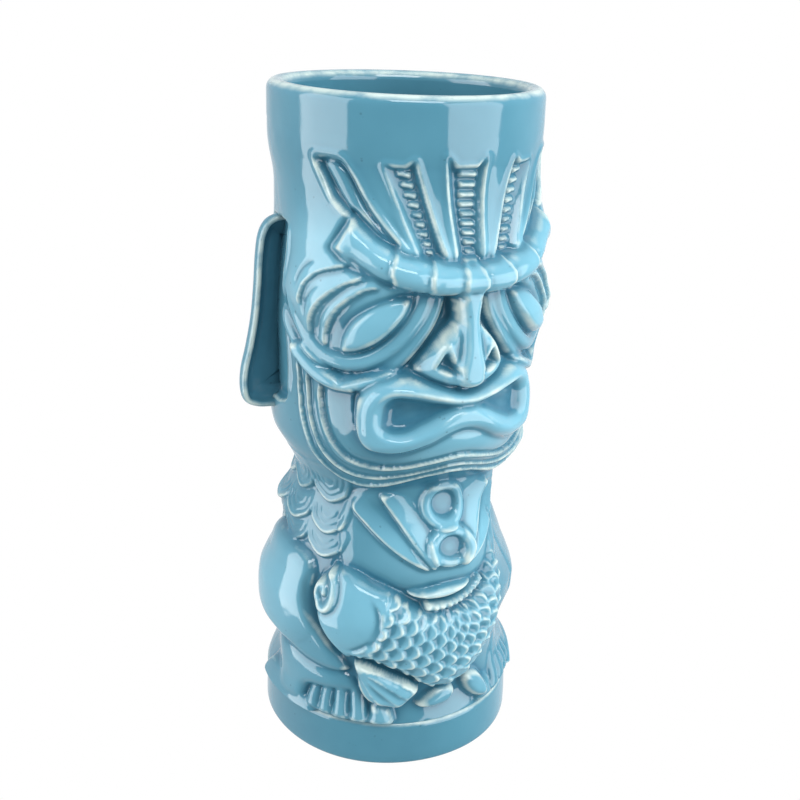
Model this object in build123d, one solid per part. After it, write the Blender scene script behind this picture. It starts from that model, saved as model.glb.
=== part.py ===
from build123d import *
import math
import os

# Tiki mug: a tall hollow figure in glazed stoneware, drunk from through its open head.
# The cast cup and the plinth under it are plain turned forms. Every carved feature is a
# piece of clay of its own, luted on to the cup's wall before firing: the crest, the brow,
# the eyes, the nose, the lips, the jowls, the ears, the cape, the necklace, the arms, the
# fish that the figure holds, and its feet. Nothing moves.
#
# Frame: millimetres, +Z up, the face looks along -Y, the origin is the centre of the foot.
# A place on the wall is given as (angle, height): degrees round from the face's middle,
# positive towards +X, and millimetres above the table.

# ---- Driving dimensions -------------------------------------------------------------
HEIGHT = 180.0
WALL = 4.6
RIM_RADIUS = 34.7
PLINTH_RADIUS = 36.0
PLINTH_TOP = 13.5
PLINTH_EDGE = 1.0
FLOOR_TOP = 6.5
POCKET_RADIUS = 29.6
FACE_RADIUS = 36.0          # the wall's radius where angles are turned into widths
REACH_IN = 12.0             # a feature's cutting prism starts this far from the axis
REACH_OUT = 60.0

# The cup's outside and its hollow, as corners (radius, height, radius of the arc there).
# The hollow is smoother than the outside, as slip leaves it.
OUTSIDE = [(34.6, PLINTH_TOP, 0), (34.8, 42, 60), (27.4, 77, 9), (35.0, 90, 14),
           (33.9, 150, 60), (34.2, 158, 20), (RIM_RADIUS, 163.5, 20), (RIM_RADIUS, HEIGHT, 0)]
HOLLOW = [(POCKET_RADIUS, PLINTH_TOP, 0), (30.2, 40, 60), (23.6, 77.5, 10), (30.0, 94, 16),
          (29.6, 152, 60), (RIM_RADIUS - WALL, 166, 40), (RIM_RADIUS - WALL, HEIGHT, 0)]

PARTS = {}


def keep(name, shape, beside=()):
    """Keeps a piece under its name, cut back from the pieces that it lies beside."""
    for other in beside:
        shape = shape - PARTS[other]
    PARTS[name] = shape


# ---- The turned forms ---------------------------------------------------------------
def turned(outline):
    """The solid that a closed half-outline makes when it is turned about the axis."""
    return revolve(make_face(Plane.XZ * outline), axis=Axis.Z)


def turned_profile(corners, extra=0.0):
    """Turns a profile with rounded corners, every radius larger by extra, into a solid."""
    path = FilletPolyline(*[(r + extra, z) for r, z, _ in corners],
                          radius=[arc for _, _, arc in corners[1:-1]])
    low, high = corners[0], corners[-1]
    outline = Curve() + [Line((0, low[1]), path @ 0), path, Line(path @ 1, (0, high[1])),
                         Line((0, high[1]), (0, low[1]))]
    return turned(outline)


CORE = turned_profile(OUTSIDE)
SKINS = {}


def skin(height):
    """The cup's outer form grown by height, made once for each height."""
    if height not in SKINS:
        SKINS[height] = turned_profile(OUTSIDE, height)
    return SKINS[height]


# ---- Places and outlines on the wall --------------------------------------------------
def wall_plane(angle):
    """An upright plane through the axis that faces outward at angle."""
    a = math.radians(angle)
    return Plane(origin=(0, 0, 0), x_dir=(math.cos(a), math.sin(a), 0),
                 z_dir=(math.sin(a), -math.cos(a), 0))


def flat_points(places, angle):
    """Wall places as points of the plane that faces outward at angle."""
    return [(FACE_RADIUS * math.sin(math.radians(t - angle)), z) for t, z in places]


def rounded(places, angle=0.0):
    """A smooth closed face through wall places."""
    return make_face(Spline(*flat_points(places, angle), periodic=True))


def angular(places, angle=0.0):
    """A closed face with straight sides through wall places."""
    return make_face(Polyline(*flat_points(places, angle), close=True))


def strip(places, width, angle=0.0):
    """A face of even width along an open line of wall places, with rounded ends."""
    line = Spline(*flat_points(places, angle))
    steps = 4 * len(places)
    left, right = [], []
    for i in range(steps + 1):
        at, along = line @ (i / steps), line % (i / steps)
        across = Vector(-along.Y, along.X) * (width / 2)
        left.append(at + across)
        right.append(at - across)
    ends = [line @ 0 - (line % 0) * (width / 2), line @ 1 + (line % 1) * (width / 2)]
    return make_face(Curve() + [
        Spline(*left),
        ThreePointArc(left[-1], ends[1], right[-1]),
        Spline(*reversed(right)),
        ThreePointArc(right[0], ends[0], left[0]),
    ])


def prism(face, angle=0.0):
    """A face of the plane at angle, run outward through the wall."""
    return extrude(wall_plane(angle).offset(REACH_IN) * face, amount=REACH_OUT - REACH_IN)


def relief(face, height, angle=0.0):
    """A slab of clay of that outline and height, its back on the cup's wall."""
    return (prism(face, angle) & skin(height)) - CORE


def mirrored(shape):
    """The same feature on the other side of the face."""
    return mirror(shape, about=Plane.YZ)


def both_sides(name, shape):
    """Keeps a feature of the mug's left side, the face's own right, and its mirror image."""
    keep(name + "_left", shape)
    keep(name + "_right", mirrored(shape))


def dome(angle, height, stand_out, radius):
    """A ball whose crown stands out from the wall by stand_out at a wall place."""
    a = math.radians(angle)
    out = FACE_RADIUS + stand_out - radius
    outward = (math.sin(a), -math.cos(a), 0)
    middle = (out * outward[0], out * outward[1], height)
    return Plane(origin=middle, z_dir=outward) * Sphere(radius)


# ---- Cup and plinth -------------------------------------------------------------------
GROOVE_DEPTH = 1.3
GROOVE_TOP, GROOVE_BOTTOM = 166.0, 145.5
GROOVES = {                 # name: its two top and two bottom angles
    "left": (-31.0, -21.0, -9.5, -14.0),
    "centre": (-7.2, 7.2, 4.2, -4.2),
    "right": (21.0, 31.0, 14.0, 9.5),
}


def groove_face(name):
    a, b, c, d = GROOVES[name]
    return angular([(a, GROOVE_TOP), (b, GROOVE_TOP), (c, GROOVE_BOTTOM), (d, GROOVE_BOTTOM)])


def cup():
    grooves = [prism(groove_face(n)) - skin(-GROOVE_DEPTH) for n in GROOVES]
    shell = CORE - turned_profile(HOLLOW) - grooves
    rim = shell.edges().filter_by(GeomType.CIRCLE).group_by(Axis.Z)[-1]
    return fillet(rim, WALL / 2 - 0.3)


def plinth():
    edge = PLINTH_RADIUS - PLINTH_EDGE
    outline = Polyline((0, 0), (edge, 0), (PLINTH_RADIUS, PLINTH_EDGE),
                       (PLINTH_RADIUS, PLINTH_TOP - PLINTH_EDGE), (edge, PLINTH_TOP),
                       (POCKET_RADIUS, PLINTH_TOP), (POCKET_RADIUS, FLOOR_TOP),
                       (0, FLOOR_TOP), close=True)
    return turned(outline)


keep("cup_shell", cup())
keep("plinth", plinth())


# ---- Crest ------------------------------------------------------------------------------
RIB_WIDTH, RIB_HEIGHT = 1.1, 0.9
BEAD_PITCH, BEAD_TALL, BEAD_COUNT = 2.15, 1.45, 8


def groove_beads(name):
    """The row of flat beads that stands on a groove's floor, narrower towards the brow."""
    a, b, c, d = GROOVES[name]
    beads = []
    for i in range(BEAD_COUNT):
        z = GROOVE_TOP - 3.0 - i * BEAD_PITCH
        down = (GROOVE_TOP - z) / (GROOVE_TOP - GROOVE_BOTTOM)
        low, high = a + (d - a) * down, b + (c - b) * down
        middle, half = (low + high) / 2, (high - low) * 0.24
        half_tall = BEAD_TALL / 2
        face = angular([(middle - half, z - half_tall), (middle + half, z - half_tall),
                        (middle + half, z + half_tall), (middle - half, z + half_tall)])
        beads.append((prism(face) & skin(-0.3)) - skin(-GROOVE_DEPTH))
    return Compound(children=[s for bead in beads for s in bead.solids()])


def groove_ribs(name):
    """The two raised edges that run down beside a groove."""
    a, b, c, d = GROOVES[name]
    edge = RIB_WIDTH / 2 + 0.2
    step = math.degrees(edge / FACE_RADIUS)
    lines = [[(a - step, GROOVE_TOP), (d - step, GROOVE_BOTTOM + 1)],
             [(b + step, GROOVE_TOP), (c + step, GROOVE_BOTTOM + 1)]]
    ribs = [relief(strip(line, RIB_WIDTH), RIB_HEIGHT) for line in lines]
    return Compound(children=[s for rib in ribs for s in rib.solids()])


for groove in GROOVES:
    keep("crest_beads_" + groove, groove_beads(groove))
    keep("crest_ribs_" + groove, groove_ribs(groove))

SPEAR_ANGLE = -45.0
spear_outer = angular([(-60.5, 165.2), (-57.5, 167.3), (-48.0, 166.6), (-29.0, 149.2),
                       (-33.5, 150.3), (-42.0, 152.8)], SPEAR_ANGLE)
spear_hollow = angular([(-57.0, 164.6), (-49.0, 164.4), (-34.5, 151.8), (-41.0, 154.4)],
                       SPEAR_ANGLE)
spear_rib = strip([(-50.4, 162.2), (-40.6, 155.0)], 1.2, SPEAR_ANGLE)
both_sides("crest_spear", relief(spear_outer - spear_hollow, 1.2, SPEAR_ANGLE))
both_sides("crest_spear_rib", relief(spear_rib, 0.9, SPEAR_ANGLE))

# ---- Brow: a rolled band in seven segments ----------------------------------------------
BROW_HEIGHT, BROW_HALF = 8.2, 4.2
BROW_CUTS = [0.0, 4.0, 15.0, 27.5, 46.0]
BROW_GAP = 0.55             # half the width of the cut between two segments, in degrees


def brow_middle(angle):
    """The height of the band's middle line: low over the nose, rising to its ends."""
    return 139.6 + 9.0 * (abs(angle) / 46.0) ** 2


def brow_segment(start, end):
    """One segment of the band, between two angles on the same side or across the middle."""
    steps = 5
    angles = [start + (end - start) * i / steps for i in range(steps + 1)]
    middle = (start + end) / 2
    top = flat_points([(t, brow_middle(t) + BROW_HALF) for t in angles], middle)
    bottom = flat_points([(t, brow_middle(t) - BROW_HALF) for t in angles], middle)
    face = make_face(Curve() + [Spline(*top), Line(top[-1], bottom[-1]),
                                Spline(*reversed(bottom)), Line(bottom[0], top[0])])
    return relief(face, BROW_HEIGHT, middle)


keep("brow_segment_centre", brow_segment(BROW_GAP - BROW_CUTS[1], BROW_CUTS[1] - BROW_GAP))
for i, (start, end) in enumerate(zip(BROW_CUTS[1:], BROW_CUTS[2:]), 1):
    both_sides(f"brow_segment_{i}", brow_segment(-end + BROW_GAP, -start - BROW_GAP))

# ---- Eyes ---------------------------------------------------------------------------------
EYE_ANGLE = -35.0
EYE = (-33.8, 126.2)        # the eyeball's middle
EYE_HALF = (10.6, 5.6)
EYE_LEAN = 36.0


def almond(grow):
    """A leaf outline about the eye's middle, larger by grow, leaning with the eye."""
    a, b, lean = EYE_HALF[0] + grow, EYE_HALF[1] + grow, math.radians(EYE_LEAN)
    cx, cz = flat_points([EYE], EYE_ANGLE)[0]
    points = []
    for i in range(24):
        t = 2 * math.pi * i / 24
        x, y = a * math.cos(t), b * math.sin(t) * (1 - 0.25 * abs(math.cos(t)))
        points.append((cx + x * math.cos(lean) - y * math.sin(lean),
                       cz + x * math.sin(lean) + y * math.cos(lean)))
    return make_face(Spline(*points, periodic=True))


BELOW_BROW = 134.6
face_band = angular([(-75, 100), (-9.5, 100), (-9.5, BELOW_BROW), (-26, 135.5), (-38, 138.8),
                     (-46, 142.2), (-75, 142.2)], EYE_ANGLE)
eye_ball = (dome(*EYE, 4.0, 15.0) & prism(almond(-0.2) & face_band, EYE_ANGLE)) - CORE
both_sides("eye", eye_ball)
both_sides("eye_ring_inner", relief((almond(3.2) - almond(0.5)) & face_band, 2.6, EYE_ANGLE))
both_sides("eye_ring_outer", relief((almond(6.4) - almond(3.9)) & face_band, 1.8, EYE_ANGLE))

TEMPLE_ANGLE = -68.0
temple_lines = [
    [(-63.5, 121.0), (-70.0, 127.5), (-75.0, 136.5), (-77.0, 146.0)],
    [(-66.5, 130.5), (-65.5, 136.0), (-61.0, 141.0), (-54.5, 144.0)],
]
temple = [relief(strip(line, 1.8, TEMPLE_ANGLE), 1.3, TEMPLE_ANGLE) for line in temple_lines]
both_sides("temple_ridges", Compound(children=[s for t in temple for s in t.solids()]))

# ---- Nose and mouth -------------------------------------------------------------------------
nose_face = angular([(-6.2, 134.8), (6.2, 134.8), (8.2, 127.0), (19.0, 118.0), (12.0, 114.2),
                     (0.0, 112.2), (-12.0, 114.2), (-19.0, 118.0), (-8.2, 127.0)])
NOSE_ROOT, NOSE_TIP = 39.5, 44.6        # radius of the nose's front at its top and bottom
nose_side = Polyline((20, 135.5), (NOSE_ROOT, 135.5), (NOSE_TIP, 117), (NOSE_TIP - 2.5, 111),
                     (20, 111), close=True)
nose_wedge = extrude(make_face(Plane.YZ * nose_side.mirror(Plane.YZ)), amount=18, both=True)
nostril_face = angular([(-10.5, 118.8), (-6.6, 121.4), (-3.6, 115.9)])
nose = (prism(nose_face) & nose_wedge) - CORE
nostril_cut = prism(nostril_face) - skin(5.2)
keep("nose", nose - nostril_cut - mirrored(nostril_cut))

lip_outer = rounded([(-39, 105), (-36, 113), (-24, 115.2), (-12, 111.6), (0, 110.4),
                     (12, 111.6), (24, 115.2), (36, 113), (39, 105), (35, 96.6),
                     (24, 95.2), (11, 99.4), (0, 101.2), (-11, 99.4), (-24, 95.2), (-35, 96.6)])
lip_inner = rounded([(-30, 104.6), (-27, 109.6), (-17, 109.8), (0, 107.2), (17, 109.8),
                     (27, 109.6), (30, 104.6), (25, 100.2), (17, 100.6), (0, 105.2),
                     (-17, 100.6), (-25, 100.2)])
keep("lips", relief(lip_outer - lip_inner, 7.0),
     beside=["nose", "eye_ring_outer_left", "eye_ring_outer_right"])

# ---- Jowls: bands that hang from the eyes and meet under the chin -------------------------
JOWLS = {                   # name: its line's places from the cheek to the chin's middle
    "inner": ([(-48.5, 107.5), (-47.0, 99.5), (-40.0, 93.6), (-27.0, 91.8), (-12.0, 94.8),
               (0.0, 97.0)], 2.6, 3.4),
    "middle": ([(-57.8, 110.0), (-57.6, 101.0), (-52.0, 91.9), (-38.0, 87.9), (-20.0, 88.9),
                (0.0, 91.9)], 2.4, 2.6),
    "outer": ([(-64.0, 113.5), (-64.5, 101.0), (-60.0, 90.5), (-46.0, 85.3), (-24.0, 84.6),
               (0.0, 86.6)], 2.0, 1.6),
}
jowl_neighbours = ["eye_ring_outer_left", "eye_ring_outer_right"]
for name, (places, width, height) in JOWLS.items():
    line = places + [(-t, z) for t, z in reversed(places[:-1])]
    keep("jowl_" + name, relief(strip(line, width), height), beside=jowl_neighbours)
    jowl_neighbours = jowl_neighbours + ["jowl_" + name]

# ---- Ears -----------------------------------------------------------------------------------
EAR_THICK = 9.0
ear_outline = Spline((-32.0, 148.5), (-35.8, 147.6), (-38.4, 143.4), (-39.3, 131.0),
                     (-40.4, 119.0), (-43.0, 107.0), (-42.4, 101.6), (-39.0, 99.2),
                     (-32.0, 98.2))
ear_face = make_face(Curve() + [ear_outline, Line((-32.0, 98.2), (-32.0, 148.5))])
ear_slab = extrude(Plane.XZ.offset(-2.0) * ear_face, amount=-EAR_THICK)
hollow_outline = Spline((-33.0, 145.6), (-35.6, 144.2), (-36.9, 139.0), (-37.3, 129.0),
                        (-38.4, 117.0), (-40.7, 107.0), (-39.9, 103.6), (-37.0, 101.8),
                        (-33.0, 101.4))
hollow_face = make_face(Curve() + [hollow_outline, Line((-33.0, 101.4), (-33.0, 145.6))])
ear_hollow = extrude(Plane.XZ.offset(-2.0) * hollow_face, amount=-5.5)
both_sides("ear", ear_slab - ear_hollow - CORE)

# ---- Shoulder cape, necklace and pendant -------------------------------------------------
CAPE_ANGLE = -72.0
CAPE_FRONT, CAPE_BACK = -48.0, -102.0
SCALLOPS = 3
CAPE_ROWS = [(79.0, 2.6), (71.5, 2.0), (64.0, 1.4)]     # lower edge and height of each row
CAPE_TOP, SCALLOP_DROP = 84.0, 3.0


def cape_row(low, top):
    """A band of the cape whose lower edge hangs in scallops."""
    wide = (CAPE_FRONT - CAPE_BACK) / SCALLOPS
    edges = [Line(*flat_points([(CAPE_FRONT, low), (CAPE_FRONT, top)], CAPE_ANGLE)),
             Line(*flat_points([(CAPE_FRONT, top), (CAPE_BACK, top)], CAPE_ANGLE)),
             Line(*flat_points([(CAPE_BACK, top), (CAPE_BACK, low)], CAPE_ANGLE))]
    for i in range(SCALLOPS):
        start = CAPE_BACK + i * wide
        places = [(start, low), (start + wide / 2, low - SCALLOP_DROP), (start + wide, low)]
        edges.append(ThreePointArc(*flat_points(places, CAPE_ANGLE)))
    return make_face(Curve() + edges)


LEAF_ANGLE = -26.0
leaf_long = angular([(-43.0, 74.6), (-40.5, 77.6), (-33.0, 75.6), (-8.6, 61.6), (-28.0, 66.6)],
                    LEAF_ANGLE)
leaf_short = angular([(-31.0, 75.6), (-26.0, 77.8), (-15.5, 72.6), (-9.6, 63.6)], LEAF_ANGLE)
both_sides("necklace_leaf_long", relief(leaf_long, 1.3, LEAF_ANGLE))
long_leaf_room = relief(leaf_long, 4.0, LEAF_ANGLE)
both_sides("necklace_leaf_short", relief(leaf_short, 1.0, LEAF_ANGLE) - long_leaf_room)

PENDANT_RING, PENDANT_HOLE = 4.3, 2.5
PENDANT_CENTRES = [77.8, 70.0]
rings = [Pos(0, z) * Circle(PENDANT_RING) for z in PENDANT_CENTRES]
holes = [Pos(0, z) * Circle(PENDANT_HOLE) for z in PENDANT_CENTRES]
keep("pendant", relief((rings[0] + rings[1]) - holes[0] - holes[1], 1.5))

# ---- Toes ---------------------------------------------------------------------------------
FOOT_ANGLE = -43.0
TOES = [(-60.4, 2.2), (-53.0, 2.3), (-45.2, 2.5), (-36.8, 2.6), (-26.4, 3.4)]   # angle, radius
TOE_MIDDLE = 17.2
toes = []
for angle, radius in TOES:
    toe = dome(angle, TOE_MIDDLE, radius - 1.0, radius) - CORE
    toes += toe.solids()
toe_room = prism(angular([(-70, 10), (-15, 10), (-15, 21.8), (-70, 21.8)], FOOT_ANGLE), FOOT_ANGLE)
both_sides("toes", Compound(children=toes))

# ---- Fish ---------------------------------------------------------------------------------
FISH_ANGLE = -12.0
fish_head_face = rounded([(-57.0, 48.0), (-54.0, 56.0), (-42.0, 57.4), (-30.0, 54.4),
                          (-26.6, 48.0), (-30.0, 40.6), (-41.0, 34.4), (-50.0, 38.4)], -42.0)
fish_body_face = rounded([(-24.6, 52.8), (-12.0, 48.6), (2.0, 47.2), (16.0, 49.4), (27.0, 54.6),
                          (33.0, 50.0), (31.0, 41.0), (22.0, 31.4), (8.0, 26.8), (-8.0, 27.4),
                          (-22.0, 30.8), (-36.0, 34.4), (-27.0, 40.0), (-23.4, 47.0)],
                         FISH_ANGLE)
fish_fin_face = angular([(-39.4, 31.8), (-35.0, 31.6), (-9.0, 24.6), (-17.0, 20.8),
                         (-26.0, 20.2), (-33.0, 23.6)], -24.0)
fish_tail_face = rounded([(29.5, 56.4), (33.0, 66.0), (38.0, 69.5), (43.0, 64.0), (43.5, 55.0),
                          (40.0, 47.0), (36.0, 48.6), (34.4, 52.6)], 36.0)
fish_head = (prism(fish_head_face, -42.0) & dome(-42.0, 46.0, 5.5, 17.0)) - CORE
fish_body = (prism(fish_body_face, FISH_ANGLE) & dome(2.0, 39.5, 4.6, 27.0)) - CORE
keep("fish_head", fish_head)
keep("fish_body", fish_body, beside=["fish_head"])
keep("fish_tail", relief(fish_tail_face, 2.4, 36.0), beside=["fish_body"])
keep("fish_fin", relief(fish_fin_face, 3.0, -24.0),
     beside=["fish_body", "fish_head", "toes_left"])
fish_lip_line = [(-51.0, 59.6), (-55.5, 61.2), (-59.5, 58.8), (-60.8, 54.6)]
keep("fish_lip", relief(strip(fish_lip_line, 1.8, -56.0), 2.6, -56.0), beside=["fish_head"])

FIN_BEADS = 8
fin_beads = []
for i in range(FIN_BEADS):
    angle = -5.0 + 3.9 * i
    z = 50.2 + 0.0062 * (angle + 5.0) ** 2
    fin_beads += relief(Pos(flat_points([(angle, z)], 0.0)[0]) * Rectangle(1.5, 1.3), 1.4).solids()
keep("fish_fin_beads", Compound(children=fin_beads))
belly_face = rounded([(-15.0, 53.6), (0.0, 52.8), (14.0, 54.6), (0.0, 56.2)])
keep("belly_fold", relief(belly_face, 1.6))

# ---- The cape's rows, each lying under the one above it -------------------------------------
cape_above = None
for i, (low, height) in enumerate(CAPE_ROWS, 1):
    row = relief(cape_row(low, CAPE_TOP), height, CAPE_ANGLE)
    scales = row - cape_above if cape_above else row
    keep(f"cape_row_{i}_left", scales, beside=["jowl_outer", "necklace_leaf_long_left", "fish_lip"])
    keep(f"cape_row_{i}_right", mirrored(scales),
         beside=["jowl_outer", "necklace_leaf_long_right", "fish_tail"])
    cape_above = cape_above + row if cape_above else row

# ---- Arms and insteps ---------------------------------------------------------------------
ARM_ANGLE = -72.0
arm_face = rounded([(-104.0, 52.0), (-96.0, 60.0), (-80.0, 61.5), (-66.0, 57.0), (-65.0, 49.0),
                    (-60.0, 39.5), (-50.0, 32.6), (-43.0, 28.6), (-56.0, 27.2), (-78.0, 32.6),
                    (-98.0, 39.0)], ARM_ANGLE)


def arm(stand_out):
    """The left arm: a padded sleeve whose elbow swells out by stand_out."""
    elbow = dome(-84.0, 47.0, stand_out, 21.0)
    return (prism(arm_face, ARM_ANGLE) & (skin(1.8) + elbow)) - CORE


keep("arm_left", arm(4.4), beside=["fish_head", "fish_lip", "fish_fin", "cape_row_3_left"])
keep("arm_right", mirrored(arm(2.6)), beside=["fish_body", "fish_tail", "cape_row_3_right"])

instep_face = rounded([(-78.0, 24.0), (-60.0, 27.6), (-47.0, 26.4), (-41.5, 22.6), (-60.0, 22.0),
                       (-80.0, 19.0)], -60.0)
instep = relief(instep_face, 2.4, -60.0) - toe_room
keep("instep_left", instep, beside=["arm_left", "toes_left"])
keep("instep_right", mirrored(instep), beside=["arm_right", "toes_right"])
pebble_face = rounded([(-13.0, 18.6), (-2.6, 16.4), (8.0, 18.6), (-2.6, 20.8)])
keep("pebble", relief(pebble_face, 1.8))

# ---- Write one file per piece -----------------------------------------------------------
os.makedirs("parts", exist_ok=True)
for name, shape in PARTS.items():
    export_step(shape, f"parts/{name}.step")
    print(name, len(shape.solids()), round(shape.volume, 1))
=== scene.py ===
"""The looks of a glazed ceramic tiki mug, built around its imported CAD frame.

The mug's skin is one carved relief over a turned wall. It is worked out as a height in
millimetres over a grid of (angle, height) places, and is then cut along the outlines of its
features, so that each feature is a closed piece of its own that fits the cup without a gap.
Angles are degrees round from the middle of the face, positive towards +X. Heights and reliefs
are millimetres. The face looks along -Y.
"""
import math

import bpy
import numpy as np
from mathutils import Matrix, Vector
from mathutils.geometry import delaunay_2d_cdt


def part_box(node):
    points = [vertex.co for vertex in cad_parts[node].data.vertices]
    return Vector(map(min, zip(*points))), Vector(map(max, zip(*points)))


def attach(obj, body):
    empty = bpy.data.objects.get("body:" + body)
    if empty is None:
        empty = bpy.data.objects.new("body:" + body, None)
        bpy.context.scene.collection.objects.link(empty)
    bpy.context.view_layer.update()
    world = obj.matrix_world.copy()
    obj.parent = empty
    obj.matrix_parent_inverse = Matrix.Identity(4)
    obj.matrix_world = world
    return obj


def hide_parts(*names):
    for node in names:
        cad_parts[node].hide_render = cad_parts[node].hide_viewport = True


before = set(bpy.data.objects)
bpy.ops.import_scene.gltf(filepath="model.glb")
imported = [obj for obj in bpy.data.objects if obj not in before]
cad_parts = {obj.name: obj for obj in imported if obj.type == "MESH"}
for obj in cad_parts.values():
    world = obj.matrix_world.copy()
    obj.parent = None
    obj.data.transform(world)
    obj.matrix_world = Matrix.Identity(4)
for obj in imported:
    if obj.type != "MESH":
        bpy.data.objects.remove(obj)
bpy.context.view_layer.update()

# ---- Sizes ----
MM = 0.001
cup_high, plinth_high = (np.array(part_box(name)[1]) / MM for name in ("cup_shell", "plinth"))
HEIGHT = cup_high[2]
PLINTH_TOP = plinth_high[2]
PLINTH_RADIUS = plinth_high[0]
WALL = 4.6
RIM_RADIUS = 34.7
FLOOR_TOP = 6.5
RELIEF_TOP = 171.0          # nothing is carved above this height
STEP = 0.36
FINE_ANGLE = 124.0          # the back beyond this angle is smooth and gets a coarser grid
COARSE_STEP = 2.4           # degrees

# The wall's outside and its hollow as (height, radius), before they are rounded off.
OUTSIDE = [(12, 35.5), (14.5, 35.3), (17, 34.8), (21, 34.2), (30, 34.6), (38, 34.8), (46, 34.2),
    (54, 32.6), (62, 30.7), (70, 28.8), (76, 27.5), (80, 28.2), (84, 30.3), (88, 32.6), (92, 34),
    (100, 34.6), (110, 34.8), (120, 35), (138, 34.2), (147, 33.1), (156, 33), (160, 33.5),
    (164, 34.4), (168, 34.7), (200, 34.7)]
HOLLOW = [(0, 29), (15, 29.6), (40, 30), (60, 27), (70, 24.9), (77.5, 23.8), (84, 25.8),
    (93.5, 29.6), (120, 30), (152, 28.9), (163, 29.9), (200, 30.1)]


def rounded_profile(corners, reach):
    """A radius for every height, through the corners, with its bends eased over reach."""
    z = np.arange(0.0, 200.0, 0.25)
    r = np.interp(z, *zip(*corners))
    kernel = np.exp(-0.5 * (np.arange(-40, 41) * 0.25 / reach) ** 2)
    padded = np.pad(r, 40, mode="edge")
    return z, np.convolve(padded, kernel / kernel.sum(), mode="valid")


outside_curve = rounded_profile(OUTSIDE, 1.4)
hollow_curve = rounded_profile(HOLLOW, 2.5)


def wall_radius(z):
    return np.interp(z, *outside_curve)


# ---- The grid that the relief is worked out on ----
def grid_angles():
    """Fine even steps over the carved front, and steps that grow towards the back."""
    fine = math.degrees(STEP / 36.0)
    front = np.arange(0.0, FINE_ANGLE, fine)
    back, step = [front[-1]], fine
    while back[-1] + step < 180.0:
        back.append(back[-1] + step)
        step = min(step * 1.25, COARSE_STEP)
    half = np.concatenate([front, back[1:]])
    return np.concatenate([-half[:0:-1], half, [180.0]])


ANGLES = grid_angles()
HEIGHTS = np.arange(PLINTH_TOP, RELIEF_TOP + STEP / 2, STEP)
relief = np.zeros((len(HEIGHTS), len(ANGLES)))


# ---- Lines and outlines ----
def smooth_line(points, looped=False, parts=7):
    """A Catmull-Rom curve through points, as a dense row of points."""
    p = np.array(points, float)
    if looped:
        p = np.vstack([p[-1:], p, p[:2]])
    else:
        p = np.vstack([2 * p[0] - p[1], p, 2 * p[-1] - p[-2]])
    t = np.arange(parts)[:, None] / parts
    rows = []
    for a, b, c, d in zip(p, p[1:], p[2:], p[3:]):
        rows.append(0.5 * (2 * b + (c - a) * t + (2 * a - 5 * b + 4 * c - d) * t ** 2
                           + (3 * b - 3 * c + d - a) * t ** 3))
    rows.append(p[-2:-1])
    line = np.vstack(rows)
    return line[:-1] if looped else line


def closed(points):
    """A smooth closed outline through points."""
    return smooth_line(points, looped=True)


def flipped(points):
    """The same places on the other side of the face."""
    return [(-t, z) for t, z in points]


def whole(points):
    """A line from the left, given as far as the face's middle, with its mirror image."""
    return points + flipped(points[-2::-1])


class Patch:
    """A window of places on the wall in true millimetres, round a feature."""

    def __init__(self, angles, heights, mid_z):
        self.per_degree = math.radians(float(wall_radius(mid_z)) + 1.0)
        self.x = angles * self.per_degree
        self.z = heights
        self.angle = self.x / self.per_degree

    def flat(self, points):
        return np.array(points, float) * [self.per_degree, 1.0]

    def near(self, points, closed=False):
        """Distance to a line, with the share of the line's length at the nearest point, and
        the side: positive on the left of the line's direction."""
        p = self.flat(points)
        ends = np.roll(p, -1, axis=0) if closed else p[1:]
        starts = p if closed else p[:-1]
        lengths = np.hypot(*(ends - starts).T)
        total, run = max(lengths.sum(), 1e-9), 0.0
        best = np.full(self.x.shape, np.inf)
        share = np.zeros(self.x.shape)
        side = np.zeros(self.x.shape)
        for (ax, az), (bx, bz), length in zip(starts, ends, lengths):
            if length < 1e-9:
                continue
            ux, uz = (bx - ax) / length, (bz - az) / length
            dx, dz = self.x - ax, self.z - az
            along = np.clip(dx * ux + dz * uz, 0, length)
            d = np.hypot(dx - along * ux, dz - along * uz)
            closer = d < best
            best = np.where(closer, d, best)
            share = np.where(closer, (run + along) / total, share)
            side = np.where(closer, np.sign(ux * dz - uz * dx), side)
            run += length
        return best, share, side

    def inside(self, points):
        """Distance in from a closed outline: positive inside and negative outside."""
        p = self.flat(points)
        odd = np.zeros(self.x.shape, bool)
        for (ax, az), (bx, bz) in zip(p, np.roll(p, -1, axis=0)):
            crosses = (az > self.z) != (bz > self.z)
            with np.errstate(divide="ignore", invalid="ignore"):
                cut = ax + (self.z - az) * (bx - ax) / (bz - az)
            odd ^= crosses & (self.x < cut)
        d = self.near(points, closed=True)[0]
        return np.where(odd, d, -d)


def dome(t):
    """A quarter circle's rise: 0 at t = 0, level at t = 1."""
    t = np.clip(t, 0, 1)
    return np.sqrt(1 - (1 - t) ** 2)


def swell(t):
    """An S-shaped rise from 0 to 1."""
    t = np.clip(t, 0, 1)
    return t * t * (3 - 2 * t)


def stand(old, rise, blend=0.35, on=None):
    """A form standing on the relief where it is above the wall, or where on says: the higher of
    the two, with the crease between them filled over blend."""
    h = np.clip(0.5 + 0.5 * (old - rise) / blend, 0, 1)
    form = rise + (old - rise) * h + blend * h * (1 - h)
    return np.where(rise > 0 if on is None else on, form, old)


def bump(d, width):
    """A smooth hump: 1 at d = 0, fading over width."""
    return np.exp(-(d / width) ** 2)


def tapered(share, taper, rise=swell):
    """1 along a line, falling to 0 over a share of its length at each end."""
    thin = np.ones_like(share)
    for along, part in ((share, taper[0]), (1 - share, taper[1])):
        if part:
            thin = thin * rise(along / part)
    return thin


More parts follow.
